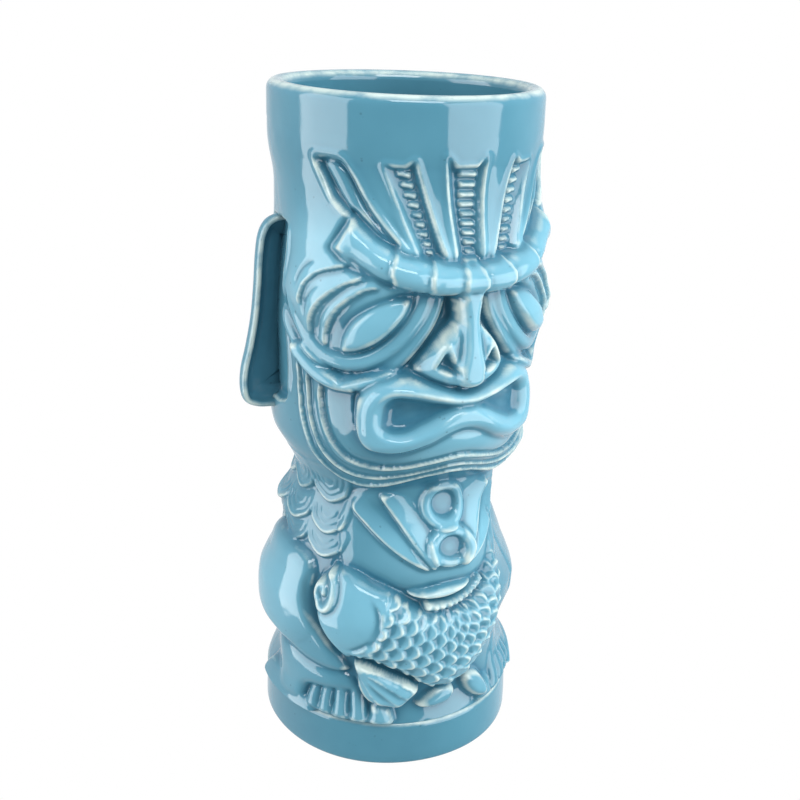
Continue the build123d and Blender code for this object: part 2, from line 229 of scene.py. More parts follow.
# ---- Stamping features into the relief ----
def stamp(points, margin, change):
    """Calls change(patch, height there) over the window round points, and keeps its answer."""
    p = np.array(points, float)
    reach = np.array([margin / math.radians(30.0), margin])
    low, high = p.min(axis=0) - reach, p.max(axis=0) + reach
    rows = slice(*np.searchsorted(HEIGHTS, [low[1], high[1]]))
    columns = slice(*np.searchsorted(ANGLES, [low[0], high[0]]))
    angles, heights = np.meshgrid(ANGLES[columns], HEIGHTS[rows])
    if angles.size:
        patch = Patch(angles, heights, 0.5 * (low[1] + high[1]))
        relief[rows, columns] = change(patch, relief[rows, columns])


def carve(points, margin, change, both=True):
    """Stamps change(patch, height there, line, sign) on the left, and mirrored on the right."""
    for sign in ((1, -1) if both else (1,)):
        path = np.array(points, float) * [sign, 1]
        stamp(path, margin, lambda patch, old: change(patch, old, path, sign))


def roll(points, half, height, both=True, taper=(0, 0), blend=0.35, add=False, power=2.0):
    """A half-round band along a line."""
    def change(patch, old, path, sign):
        d, share, _ = patch.near(path)
        thin = tapered(share, taper, dome)
        width = np.maximum(half * thin, 1e-3)
        h = height * thin * np.clip(1 - (d / width) ** power, 0, 1) ** (1 / power)
        return old + h if add else stand(old, h, blend)
    carve(smooth_line(points), half + 1.0, change, both)


def groove(points, half, depth, both=True, taper=(0, 0), smooth=True):
    """A soft channel along a line."""
    def change(patch, old, path, sign):
        d, share, _ = patch.near(path)
        return old - depth * tapered(share, taper) * bump(d, half)
    carve(smooth_line(points) if smooth else points, 3 * half, change, both)


def lap(points, high, low, fall=2.2, both=True, outer=1, taper=(0.15, 0.15)):
    """A line where one fold laps over the next: raised on its outer side, sunk on the other.
    outer is 1 where the outer side is on the left of the line's direction."""
    def change(patch, old, path, sign):
        d, share, side = patch.near(path)
        step = np.where(side * outer * sign > 0, high * np.exp(-d / fall), -low * np.exp(-d / 1.1))
        return old + tapered(share, taper) * step
    carve(smooth_line(points), 3 * fall, change, both)


def pad(points, height, edge, both=True, smooth=True, blend=0.35, add=False, shape=None):
    """A raised pad with a rounded edge. shape(angle, z) may scale its height."""
    def change(patch, old, path, sign):
        rise = height * dome(patch.inside(path) / edge)
        if shape:
            rise = rise * shape(patch.angle * sign, patch.z)
        return old + rise if add else stand(old, rise, blend)
    carve(closed(points) if smooth else points, 1.0, change, both)


def in_ellipse(patch, sign, centre, half, lean=0.0):
    """Places measured from an ellipse's middle, as shares of its two half-sizes."""
    x, z = patch.x * sign - centre[0] * patch.per_degree, patch.z - centre[1]
    c, s = math.cos(math.radians(lean)), math.sin(math.radians(lean))
    return (x * c + z * s) / half[0], (-x * s + z * c) / half[1]


def bulge(centre, half, height, both=True):
    """A broad swelling added under what comes later: an ellipse of half-sizes in mm."""
    def change(patch, old, path, sign):
        u, v = in_ellipse(patch, sign, centre, half)
        return old + height * swell(1 - np.sqrt(u * u + v * v))
    carve([centre], max(half), change, both)


def cushion(points, edge_height, edge, centre, half, crown, lean=0.0, both=False, blend=0.35,
            shape=None):
    """A pad with a rounded edge and a crown that swells over an ellipse, without a crease."""
    def change(patch, old, path, sign):
        u, v = in_ellipse(patch, sign, centre, half, lean)
        rise = (edge_height + crown * np.clip(1 - u * u - v * v, 0, 1)) * dome(
            patch.inside(path) / edge)
        if shape:
            rise = rise * shape(patch.angle * sign, patch.z)
        return stand(old, rise, blend)
    carve(closed(points), 1.0, change, both)


# ---- Outlines of the pieces ----
pieces = []                 # (piece, outline places) in the order they are cut out
SIDES = ((1, "left"), (-1, "right"))


def piece(name, outline, hand=1):
    """Names the part of the skin inside an outline as a piece of its own."""
    pieces.append((name, np.array(outline, float) * [hand, 1]))


def ribbon(points, half):
    """The outline of a band of half-width half along a line of places."""
    line = smooth_line(points)
    k = math.radians(float(wall_radius(line[:, 1].mean())) + 1.0)
    flat = line * [k, 1.0]
    run = np.gradient(flat, axis=0)
    run /= np.hypot(*run.T)[:, None]
    across = np.stack([-run[:, 1], run[:, 0]], axis=1) * half
    turn = np.linspace(0, math.pi, 8)[1:-1, None]
    ends = [at + np.cos(turn) * side + np.sin(turn) * along * half
            for at, along, side in ((flat[-1], run[-1], across[-1]),
                                    (flat[0], -run[0], -across[0]))]
    return np.vstack([flat + across, ends[0], (flat - across)[::-1], ends[1]]) / [k, 1.0]


# ---- Broad forms under the carving ----
BROW_BASE = 4.8             # how far the forehead leans out over the eyes
turned, up = np.abs(ANGLES)[None, :], HEIGHTS[:, None]
drop = 13 * swell((turned - 22) / 18)       # its lower edge comes down round the sides
relief += (BROW_BASE * (1 - swell((turned - 48) / 50)) * np.clip((164.0 - up) / 18.0, 0, 1) ** 1.15
           * swell((up - 134.0 + drop) / (3.0 + drop)))
bulge((0, 100), (29, 17), 5.0, both=False)
bulge((-27, 105), (13, 11), 0.8)
bulge((-60, 125), (17, 19), 2.4)
bulge((0, 66), (26, 17), 4.6, both=False)


# ---- Crest ----
GROOVE_TOP, GROOVE_END = 164.2, 144.0
CREST_GROOVES = {           # name: angles of its left and right sides, at the top and the end
    "centre": (-8.2, 8.2, -4.4, 4.4),
    "left": (-32.2, -20.8, -17.4, -9.2),
}
BEAD_ROWS = {               # name: middle angle and half-width, at the top and the end
    "centre": (1.2, 4.3, 0.7, 2.1),
    "left": (-24.8, 2.8, -14.2, 1.5),
}
BEADS = 9


def groove_outline(name):
    a, b, c, d = CREST_GROOVES[name]
    first, last = (2.5, 2.3) if name == "centre" else (0.3, 1.4)
    return [(a, GROOVE_TOP + first), (a + 3.6, GROOVE_TOP), (b - 3.4, GROOVE_TOP),
            (b, GROOVE_TOP + last), (d, GROOVE_END), (c, GROOVE_END)]


def mirrored(points):
    """The crest's right side. It was carved a little further round than its left."""
    points = np.array(points, float)
    return np.stack([-points[:, 0] + 1.0 + (points[:, 1] - GROOVE_END) * 0.12, points[:, 1]], 1)


def crest_sides(name, points):
    return [(1, points)] + ([] if name == "centre" else [(-1, mirrored(points))])


def carve_groove(name):
    a, b, c, d = CREST_GROOVES[name]
    bevel = 1.7 if name == "centre" else 2.6
    for sign, path in crest_sides(name, groove_outline(name)):
        def change(patch, old):
            inner = patch.inside(path)
            down = np.clip((GROOVE_TOP - patch.z) / (GROOVE_TOP - GROOVE_END), 0, 1)
            angle = patch.angle
            if sign == -1:
                angle = -(angle - 1.0 - (patch.z - GROOVE_END) * 0.12)
            outer_side = (angle - (a + (c - a) * down)) * patch.per_degree
            slope = np.minimum(swell((inner + 0.2) / 1.2),
                               np.clip((outer_side + 0.2) / bevel, 0, 1))
            if name == "centre":
                other = ((b + (d - b) * down) - angle) * patch.per_degree
                slope = np.minimum(slope, np.clip((other + 0.2) / bevel, 0, 1))
            return old + 0.50 * bump(inner + 0.55, 0.7) - (1.7 + 0.5 * down) * slope
        stamp(path, 3.0, change)


def bead_row(name):
    """Flat pillow-shaped beads down the floor of a groove, smaller towards the brow."""
    top_angle, top_half, end_angle, end_half = BEAD_ROWS[name]
    lean = 0.10 if name == "centre" else 0.28
    for i in range(BEADS):
        down = (i / (BEADS - 1)) ** 0.94
        z = 162.6 - 17.3 * down
        middle = top_angle + (end_angle - top_angle) * down
        half = top_half + (end_half - top_half) * down
        tall = 0.74 - 0.18 * down
        face = [(middle - half, z - tall + lean), (middle + half, z - tall - lean),
                (middle + half * 1.02, z + tall - lean), (middle - half * 1.02, z + tall + lean)]
        for _, path in crest_sides(name, face):
            pad(path, 1.45 - 0.2 * down, 0.5, smooth=False, add=True, both=False)


for crest_name in CREST_GROOVES:
    carve_groove(crest_name)
    bead_row(crest_name)

SPEAR = [(-63, 164.8), (-61.4, 166.4), (-55, 166.6), (-48.4, 165.9), (-43.6, 162.6),
    (-37.8, 157.4), (-32, 153), (-26.4, 149), (-21.6, 145.4), (-28, 145.2), (-36, 148),
    (-44, 151.8), (-52, 154.8), (-58.6, 159.6)]
SPEAR_HOLLOW = [(-61.6, 164.2), (-59.2, 165.1), (-54, 165.2), (-49, 164.5), (-44.4, 161.2),
    (-38.6, 156), (-32, 151.2), (-25.4, 146.8), (-30.6, 146.6), (-37.6, 149.2), (-45, 152.8),
    (-52, 156), (-57.6, 160.6)]
SPEAR_LEAF = [(-57.6, 163.6), (-54.4, 164.6), (-50.4, 163.8), (-46.8, 161.6), (-42.2, 157.4),
    (-36.8, 153.2), (-30.4, 149.2), (-26, 146.4), (-32.4, 148.4), (-40, 151.6), (-47, 155.2),
    (-52.8, 159.4)]


def carve_spear(patch, old, outer, sign):
    inner, leaf = (patch.inside(closed(line) * [sign, 1]) for line in (SPEAR_HOLLOW, SPEAR_LEAF))
    return (old + 0.55 * bump(patch.inside(outer) - 0.2, 0.7) - 1.9 * swell((inner + 0.1) / 0.9)
            + 1.7 * dome((leaf + 0.1) / 1.9))


carve(closed(SPEAR), 3.0, carve_spear)

# ---- The edge of the face, and the hollow between it and the ear ----
FACE_EDGE = [(-76.4, 146.6), (-75.4, 142), (-76, 136), (-78, 130.2), (-77.4, 125.6), (-76.8, 118),
    (-77.2, 110), (-78, 105.4), (-80.4, 101.6), (-92, 100), (-106, 103), (-106, 143), (-94, 147.6),
    (-82, 148)]
pad(FACE_EDGE, -2.3, 2.2, add=True)
roll([(-75, 148), (-73.8, 142), (-74.8, 135.6), (-76.4, 130)],
    1.1, 0.5, add=True, taper=(0.2, 0.2))
roll([(-75.8, 125.4), (-75.3, 118), (-75.6, 110), (-76.8, 103.6)],
    0.9, 0.4, add=True, taper=(0.2, 0.2))

# ---- Folds round the eyes ----
EYE = [(-46.6, 120.6), (-45.4, 124.6), (-41.8, 128.8), (-36.2, 132.4), (-29.8, 134.8),
    (-23.6, 135.5), (-19.8, 134.4), (-21, 131), (-25.6, 127), (-31.4, 123.4), (-38.4, 120.8),
    (-44.2, 119.8)]
LID_BED = [(-66.8, 131.4), (-66.2, 137.6), (-62.8, 142), (-57, 143.8), (-49, 143.2), (-40, 140.6),
    (-28, 137.6), (-19, 136), (-22, 130), (-34, 122), (-46, 119.2), (-56, 121), (-63, 126)]
FOLD_1 = [(-62.6, 129.4), (-61.6, 133), (-58.6, 136.8), (-53.4, 139.4), (-46.4, 141),
    (-41.4, 141.6)]
FOLD_2 = [(-58.4, 121.6), (-58, 126.4), (-54.6, 130.8), (-49.2, 134.6), (-43, 137.4),
    (-35.6, 139.2)]
FOLD_3 = [(-52, 119.4), (-51.6, 124.4), (-48.4, 129.2), (-43.2, 133), (-37, 136), (-30, 137.4)]
RING_IN = [(-74.4, 140), (-71.4, 133.2), (-67, 127.4), (-61, 122.2), (-54, 118.8), (-45, 117.5),
    (-35.2, 118.9), (-25.8, 123.4), (-18.2, 130), (-14.6, 136.4)]
RING_OUT = [(-77.4, 128.6), (-72.6, 124), (-66.2, 119.2), (-60, 115.8), (-53, 113.2), (-45, 112.4),
    (-36.2, 113.6), (-27.8, 117.3), (-19.8, 122.9), (-13.2, 129.6), (-10.2, 136.4)]
pad(LID_BED, 2.6, 2.4, blend=0.6)
for fold, tall in ((FOLD_1, 0.7), (FOLD_2, 0.9), (FOLD_3, 0.9)):
    lap(fold, tall, 1.0, fall=2.6, taper=(0.12, 0.10))
groove([(-65, 133.6), (-63.6, 137.6), (-60, 140.6), (-55, 142)], 0.45, 0.55, taper=(0.3, 0.3))
groove([(-60.6, 126), (-60.2, 130.6), (-56.8, 134.8), (-51.4, 137.6)], 0.45, 0.6, taper=(0.3, 0.3))
groove([(-55.2, 121.4), (-54.8, 126.4), (-51.4, 130.8), (-46, 134.6), (-40, 137.2)],
    0.45, 0.6, taper=(0.3, 0.3))
roll(RING_OUT, 2.35, 3.0, taper=(0.10, 0.0), power=2.2)
roll(RING_IN, 2.65, 3.5, taper=(0.22, 0.0), power=2.2)
cushion(EYE, 3.6, 2.2, (-33.0, 127.6), (11.0, 7.0), 1.9, lean=34, both=True, blend=0.2)
for line in (RING_OUT, RING_IN):
    groove([(t, z + 0.5) for t, z in line[2:]], 0.4, 0.22, taper=(0.3, 0.1))

# ---- Jaw ----
JAW = whole([(-68.4, 120), (-68.9, 108), (-67.8, 99), (-63.8, 91.8), (-57.4, 86.8), (-50, 83.4),
    (-42, 81.9), (-34, 81.8), (-27, 82.8), (-19, 84.6), (-10, 86.8), (0, 87.8)])
JAW_TOP = whole([(-62, 121), (-45, 113), (-28, 117), (0, 118)])
JAW_LINES = [               # each line, how high its outer side and how deep its inner side is
    ([(-40.4, 112), (-40.8, 106), (-39.2, 100), (-35.8, 96.2), (-31.4, 93.8)], 0.5, 0.5),
    (whole([(-54.6, 112.4), (-55, 106), (-52.4, 99), (-47.6, 94.2), (-42, 91.6),
            (-35, 90.5), (-28, 90.2), (-20, 91.2), (-11, 93.2), (0, 95)]), 0.7, 1.5),
    (whole([(-60.6, 114.6), (-60.8, 104.6), (-58.2, 97.2), (-53.4, 91.8), (-47, 88.4),
            (-39.6, 86.7), (-30, 86.6), (-20, 88), (-10, 90.2), (0, 91.6)]), 0.6, 1.3),
    (whole([(-65, 117.4), (-65.2, 105), (-62.6, 97.2), (-58.4, 91.2), (-52.2, 86.4),
            (-44.8, 84.1), (-37, 83.6), (-29, 84.3), (-20, 85.9), (-10, 88.1),
            (0.0, 89.4)]), 0.5, 1.0),
]
pad(JAW + JAW_TOP[::-1], 1.7, 1.6, both=False, smooth=False, blend=0.3, add=True)
for i, (line, high_side, low_side) in enumerate(JAW_LINES):
    lap(line, high_side, low_side, fall=1.1, both=i == 0, outer=-1,
        taper=(0.03, 0.3 if i == 0 else 0.03))
for line in (whole([(-57.8, 113.4), (-58.2, 105.4), (-55.8, 98.6), (-51, 92.7), (-45, 89.7),
                    (-36, 88.5), (-26, 88.8), (-12, 91.4), (0, 93.2)]),
             whole([(-63, 116), (-63.2, 105), (-60.6, 97.2), (-56, 91.4), (-50, 87.4),
                    (-42, 85.4), (-30, 85.4), (-18, 87.2), (0, 90.5)])):
    groove(line, 0.42, 0.55, both=False, taper=(0.1, 0.1))

# ---- Mouth ----
LIPS = whole([(-39.6, 104.6), (-38.8, 109.6), (-34.6, 113.6), (-27.6, 115.8), (-20, 115.9),
    (-10, 114.2), (0, 112.8)]) + flipped(whole([(-38.8, 99.8), (-35.6, 96.6), (-30, 95.4),
    (-22, 95.6), (-12, 97.8), (0, 101.2)]))
MOUTH = whole([(-30.4, 105.4), (-29.4, 109.2), (-25.4, 111.6), (-18, 111.6), (-10, 110.4),
    (-4, 109.4), (0, 109.2)]) + flipped(whole([(-29.4, 102.8), (-25.6, 101.3), (-20, 101.5),
    (-13.6, 103.6), (-7.4, 106.3), (-3, 108), (0, 108.2)]))
lip_shape = closed(LIPS)
mouth_shape = closed(MOUTH)


def carve_lips(patch, old):
    right_side = swell((patch.angle - 8.0) / 24.0)
    rise = (8.2 - 2.2 * right_side) * dome((patch.inside(lip_shape) + 0.2) / 4.2)
    face = stand(old, rise, 0.4)
    d = patch.inside(mouth_shape)
    floor = 4.4 - 1.0 * swell(d / 5.0) - 0.8 * right_side
    return face + (np.minimum(face, floor) - face) * swell((d + 1.3) / 3.6)


stamp(lip_shape, 1.5, carve_lips)

# ---- Nose ----
BRIDGE = [(-5.6, 138), (5.6, 138), (5, 130), (5.6, 123), (7, 117.4), (5.4, 113.8), (0, 112.4),
    (-5.4, 113.8), (-7, 117.4), (-5.6, 123), (-5, 130)]
WING = [(-3, 130), (-7.4, 127.6), (-12.6, 124), (-17, 120.2), (-19.6, 117.4), (-17.8, 115.8),
    (-11, 113.9), (-3, 112.8), (0, 120)]
NOSTRIL = [(-11.6, 118.4), (-8.2, 122.8), (-3.6, 116.6)]


pad(WING, 7.0, 3.0, shape=lambda a, z: 0.52 + 0.48 * swell((a + 20.0) / 13.0))
pad(BRIDGE, 9.6, 3.0, both=False, shape=lambda a, z: 0.80 + 0.20 * swell((134.0 - z) / 16.0),
    blend=0.5)
roll([(-13.4, 117.6), (-8.6, 124), (-5.4, 119.4)], 0.8, 0.5, add=True, taper=(0.2, 0.3))
pad(NOSTRIL, -2.7, 1.3, smooth=False, add=True)

# ---- Brow ----
BROW = whole([(-46.4, 148), (-40, 146.2), (-33, 143.6), (-24, 141.4), (-12, 139.8), (0, 139.3)])
BROW_UPPER = whole([(-43.4, 152.8), (-40, 151.4), (-33, 148.6), (-24, 146), (-12, 144.2),
    (0, 143.6)])
BROW_LOWER = whole([(-50, 145.4), (-46, 143.4), (-40, 141), (-33, 138.8), (-24, 136.7),
    (-12, 135.2), (0, 134.9)])
BROW_SHAPE = BROW_UPPER + flipped(BROW_LOWER)
BROW_CUTS = [4.0, 15.0, 27.5]


def carve_brow(patch, old):
    d = patch.inside(BROW_SHAPE)
    angle = np.abs(patch.angle)
    crown = 9.3 - 2.9 * swell((angle - 20.0) / 26.0)
    edge = 4.4 - 2.4 * swell((angle - 40.0) / 6.0)
    dip = 0.9 * bump(d + 0.6, 0.8) * swell((angle - 30.0) / 12.0)
    return stand(old, crown * dome((d + 0.1) / edge), on=d > -0.1) - dip


stamp(BROW_SHAPE, 3.0, carve_brow)
for cut in BROW_CUTS:
    z = np.interp(cut, *zip(*sorted((a, b) for a, b in BROW if a >= 0)))
    lap([(-cut + 1.6, z + 5.0), (-cut - 0.2, z), (-cut + 0.8, z - 5.0)], 0.45, 1.1, fall=1.0,
        taper=(0.05, 0.05))

# ---- Shoulder capes ----
CAPE_COLUMNS = [-59.5, -83.5, -107.5]
CAPE_ROWS = [(59.6, 66.6), (66, 74), (74.4, 84)]      # lowest point and top of each row
SCALE_HALF = 12.0           # half of a scale's width, in degrees


def scale_outline(centre, low, high):
    h = SCALE_HALF
    return [(centre - h, high + 2.0), (centre - h, low + 4.2), (centre - 0.66 * h, low + 1.7),
            (centre, low), (centre + 0.66 * h, low + 1.7), (centre + h, low + 4.2),
            (centre + h, high + 2.0)]


def cape_scale(centre, low, high, tall):
    def change(patch, old, path, sign):
        d = patch.inside(path)
        tilt = 0.15 + 0.85 * np.clip((high + 1.0 - patch.z) / (high + 1.0 - low), 0, 1)
        rise = tall * (0.85 if sign == 1 else 0.4) * tilt * dome(d / 0.8)
        for inner, depth in ((1.9, 0.5), (3.5, 0.45), (5.1, 0.3)):
            rise = rise - depth * bump(d - inner, 0.42) * swell((high - 0.5 - patch.z) / 2.0)
        return stand(old, rise, 0.2, on=d > 0)
    carve(closed(scale_outline(centre, low, high)), 1.0, change)


for (low_z, high_z), tall in zip(CAPE_ROWS, (2.0, 2.3, 2.3)):
    for column in CAPE_COLUMNS:
        cape_scale(column, low_z, high_z, tall)

# ---- Necklace, pendant and belly ----
BELLY = whole([(-50, 63), (-47, 58.4), (-40, 57.8), (-30, 56.4), (-20, 54.6), (-10, 54.2),
    (0, 55)]) + flipped(whole([(-52, 72), (-44, 80), (-20, 82.5), (0, 83)]))
pad(BELLY, 1.4, 5.0, both=False, add=True)
LEAF_LONG = [(-45.4, 75.4), (-43, 78.6), (-36, 79.4), (-29.6, 78.8), (-25, 75), (-17, 69.2),
    (-8.2, 61.8), (-12, 61.9), (-24, 66.2), (-36, 71)]
LEAF_SHORT = [(-30.6, 79.2), (-27, 80.6), (-18.6, 80), (-13, 77.4), (-8.6, 72.4), (-5.4, 66),
    (-5, 62.4), (-7.2, 61.6), (-12.4, 65.6), (-20.4, 72)]


def leaf(outline, crest, tall, fall=5.0):
    """A pleat: its crest runs along one edge and it slopes away from that over fall."""
    def change(patch, old, path, sign):
        d = patch.inside(path)
        slope = np.clip(1 - patch.near(smooth_line(crest) * [sign, 1])[0] / fall, 0, 1)
        return old + np.where(d > 0, tall * (0.12 + 0.88 * slope) * dome(d / 1.1), 0)
    carve(closed(outline), 1.0, change)


leaf(LEAF_LONG, [(-44.6, 74.8), (-36, 71.4), (-26, 67.4), (-9, 61.8)], 1.9)
leaf(LEAF_SHORT, [(-29.8, 79), (-20.6, 72.4), (-12.6, 66.2), (-6.8, 61.8)], 2.2)
PENDANT_RINGS = [((0.4, 77.6), 4.4, 4.9), ((1.4, 67.2), 4.3, 4.1)]   # middle, half-sizes in mm


def pendant_ring(centre, half_x, half_z):
    k = math.degrees(1 / float(wall_radius(centre[1])))
    turn = np.linspace(0, 2 * math.pi, 48, endpoint=False)
    return np.stack([centre[0] + half_x * k * np.sin(turn), centre[1] + half_z * np.cos(turn)], 1)


def carve_ring(patch, old, loop, sign):
    return old + 1.7 * np.sqrt(np.clip(1 - (patch.near(loop, closed=True)[0] / 1.5) ** 2, 0, 1))


for ring in PENDANT_RINGS:
    carve(pendant_ring(*ring), 2.0, carve_ring, both=False)

# ---- Arms ----
ARM = [(-118, 54), (-110, 59.5), (-95, 61), (-78, 60.4), (-66, 59), (-61, 55), (-61.4, 49),
    (-58.6, 43.4), (-51, 37.6), (-43.4, 32.4), (-41, 29.6), (-49, 28), (-62, 29), (-80, 32.4),
    (-100, 35), (-115, 41)]
cushion(ARM, 2.6, 3.4, (-86.0, 47.0), (20.0, 17.0), 2.0)


def right_arm(patch, old):
    rise = (0.7 + 3.2 * swell((patch.angle - 64.0) / 40.0)) * dome(
        patch.inside(closed(flipped(ARM))) / 4.0)
    return stand(old, rise, 0.4)


stamp(flipped(ARM), 1.0, right_arm)
groove([(-61.6, 58), (-63.6, 52), (-62.2, 46.8), (-57.6, 42.6), (-51, 38.4), (-45, 34)],
    0.8, 0.9, both=False, taper=(0.2, 0.2))

# ---- Feet ----
LEG = [(-96, 14), (-94, 22), (-84, 31), (-70, 33), (-60, 30.4), (-50, 29.2), (-41, 27.6),
    (-35.6, 24.6), (-40, 22.6), (-50, 21.8), (-61, 20.6), (-65, 15), (-76, 13.8)]
cushion(LEG, 1.9, 3.4, (-66.0, 23.0), (14.0, 9.0), 1.0,
        shape=lambda a, z: 1 - 0.85 * swell((-a - 76.0) / 18.0))
cushion(flipped(LEG), 0.8, 3.4, (66.0, 22.0), (16.0, 9.0), 0.3)
SOLE = [(-97, 12), (-96, 18.4), (-86, 19.8), (-76, 19.4), (-66, 17.8), (-59, 15), (-60, 12)]
pad(SOLE, 1.9, 1.4)
TOES = [                    # angle at the bottom and the top, top height, half-width, stand-out
    (-58.6, -57.4, 23.4, 2.2, 2.1), (-51.6, -51.4, 24.6, 2.2, 2.4),
    (-44.2, -44.8, 25.4, 2.4, 2.7), (-36.0, -37.8, 25.6, 2.6, 3.0), (-26.4, -27.4, 21.4, 3.2, 3.6)]


def toe_outline(low_angle, top_angle, top, half):
    k = math.degrees(1 / 36.0)
    low, high = half * k, 0.75 * half * k
    return [(low_angle - low, 14.0), (low_angle - low, 17.6), (top_angle - high, top - 1.4),
            (top_angle, top), (top_angle + high, top - 1.4), (low_angle + low, 17.6),
            (low_angle + low, 14.0)]


for *toe, half, out in TOES:
    for hand, size in ((1, 1.0), (-1, 0.6)):
        pad(np.array(toe_outline(*toe, half)) * [hand, 1], out * size, half, both=False,
            shape=lambda a, z: ((1 - 0.42 * swell((z - 18.0) / 6.0))
                                * (0.6 + 0.4 * swell((z - 13.6) / 2.4))))
PEBBLES = [[(-11.6, 20), (-7.2, 22.8), (-1.6, 24.8), (4, 25), (7, 22.6), (4.2, 19.6), (-2, 18.5),
    (-8.4, 18.6)], [(9.8, 25.6), (13.4, 27), (19.6, 25.4), (25.4, 21), (27, 17.4), (23.6, 15.9),
    (17.4, 17.6), (11.8, 21.4)]]
for stone in PEBBLES:
    pad(stone, 3.4, 2.6, both=False)

# ---- Fish ----
FISH_BODY = [(-27, 54.4), (-22, 54.2), (-15, 51.2), (-8, 49.4), (0, 49.2), (9, 50.6), (17, 53.4),
    (23, 58), (27, 64), (30, 70), (35.5, 68.6), (37.4, 61), (36, 54.4), (31.8, 46.8), (26.6, 39.8),
    (20.6, 33.6), (12.4, 28), (2, 25.4), (-8, 26), (-16, 30), (-26, 33.2), (-34, 34.8),
    (-42, 35.6), (-33, 44)]
FISH_AXIS = [(-46, 45), (-30, 43.4), (-13, 39), (4, 37.6), (16, 40.6), (25, 47), (30.4, 56),
    (33, 67)]
FISH_HEAD = [(-57, 49), (-56.4, 54), (-51, 58.6), (-42, 59.4), (-32, 57), (-23, 54.6), (-22.8, 50),
    (-25.2, 44.4), (-30, 39.4), (-36.4, 35.8), (-42, 34.4), (-48, 38), (-54, 43.2)]
FISH_TAIL = [(25, 60), (26.4, 66), (30, 72.4), (37, 70.6), (40, 62), (36, 55.6), (30, 55.6)]
FISH_FIN = [(-38.6, 34.4), (-37.6, 29.6), (-36, 25), (-31.8, 21.6), (-25, 20.4), (-18.4, 20.2),
    (-13.4, 23.2), (-10.4, 26), (-14, 28.2), (-20, 30.2), (-27, 32.4), (-33, 34.2)]
DORSAL_FIN = [(-17.4, 53.9), (-11, 55.2), (-1, 56.5), (8, 56.3), (14, 55.5), (7, 53.4), (-1, 52.4),
    (-9, 52.5)]
SCALE_PITCH, SCALE_ROW, SCALE_RADIUS = 3.1, 4.0, 2.7


def fish_scales(along, across):
    """Overlapping round-ended scales. Each one lies under the one nearer the head, and rises
    to a rounded rim along its free edge."""
    column = np.floor(along / SCALE_PITCH)
    height = np.zeros_like(along)
    found = np.zeros(along.shape, bool)
    for back in (2, 1, 0, -1):
        k = column - back
        shift = (k % 2) * 0.5 * SCALE_ROW
        centre = np.round((across - shift) / SCALE_ROW) * SCALE_ROW + shift
        u = along - k * SCALE_PITCH
        v = across - centre
        d = SCALE_RADIUS - np.hypot(u * 0.86, v * 1.12)
        covers = (d > 0) & (u > -0.3 * SCALE_RADIUS) & ~found
        rise = 0.25 + 0.42 * np.clip(u / SCALE_RADIUS, 0, 1.2)
        rim = 0.34 * bump(d - 0.5, 0.36)
        height = np.where(covers, (rise + rim) * dome(np.clip(d / 0.4, 0, 1)), height)
        found |= covers
    return height


def carve_fish(patch, old):
    inner = patch.inside(closed(FISH_BODY))
    axis = smooth_line(FISH_AXIS)
    d, share, side = patch.near(axis)
    length = np.hypot(*np.diff(patch.flat(axis), axis=0).T).sum()
    thin = 1 - 0.42 * swell((share - 0.6) / 0.4)
    tube = 5.2 * thin * dome((inner + 0.1) / 6.5) * (1 - 0.12 * np.clip(d / 9.0, 0, 1) ** 2)
    scales = 1.7 * fish_scales(share * length, d * side) * dome(inner / 1.4)
    return stand(old, tube + scales - 0.4, 0.3, on=inner > 0)


stamp(closed(FISH_BODY), 1.0, carve_fish)
pad(FISH_TAIL, 3.8, 3.4, both=False)
for ray in range(5):
    tip = (30.0 + 2.2 * ray, 71.6 - 1.6 * ray)
    groove([(31.0 + ray, 57.6), tip], 0.5, 0.5, both=False, smooth=False)
cushion(FISH_HEAD, 4.0, 2.6, (-39.0, 47.0), (11.5, 11.0), 2.6, blend=0.3)
lap([(-35, 55.6), (-29.4, 52), (-27.2, 47.4), (-28.6, 43.4), (-33, 40.4), (-39, 38.4),
    (-45, 38.8)], 0.5, 0.7, fall=1.4, both=False, taper=(0.3, 0.3))
roll([(-24.8, 53.4), (-25.2, 48.8), (-28, 43.2), (-33, 38.8), (-39, 36.4)],
    1.5, 0.9, add=True, both=False, taper=(0.2, 0.2))
HOOK = [(-50, 58), (-48, 55.6), (-47.4, 52.6), (-48.6, 50.2), (-51.4, 49), (-54.4, 50),
    (-55.8, 52.4), (-54.8, 54.6), (-52.8, 54.8), (-51.8, 53.2)]


def carve_hook(patch, old):
    d, share, _ = patch.near(smooth_line(HOOK))
    dipped = old - 0.45 * bump(d - 1.6, 0.5)
    rise = 1.6 * np.sqrt(np.clip(1 - (d / 1.15) ** 2, 0, 1))
    return np.where(d < 1.15, np.maximum(dipped, np.maximum(old, 3.8) + rise - 0.5), dipped)


stamp(smooth_line(HOOK), 3.0, carve_hook)
pad(FISH_FIN, 5.0, 2.4, both=False, blend=0.25)
for tip, sag in (((-12.6, 25.6), 1.4), ((-15.4, 23.2), 0.6), ((-19.6, 21.2), -0.2),
                 ((-26.4, 21.0), -1.0)):
    middle = ((-37.4 + tip[0]) / 2, (33.0 + tip[1]) / 2 + sag)
    lap([(-37.4, 33.0), middle, tip], 0.45, 0.55, fall=1.0, both=False, taper=(0.3, 0.1))
pad(DORSAL_FIN, 5.0, 1.8, both=False)
BEAD_LINE = [(-10, 50.6), (-5, 50.3), (0, 50.5), (4.4, 51.1), (8.4, 51.9), (12.2, 53),
    (15.6, 54.2), (18.6, 55.6)]
roll(BEAD_LINE, 1.7, 4.0, both=False, taper=(0.05, 0.05), blend=0.3)
FIN_BEADS = 11
bead_places = smooth_line(BEAD_LINE)
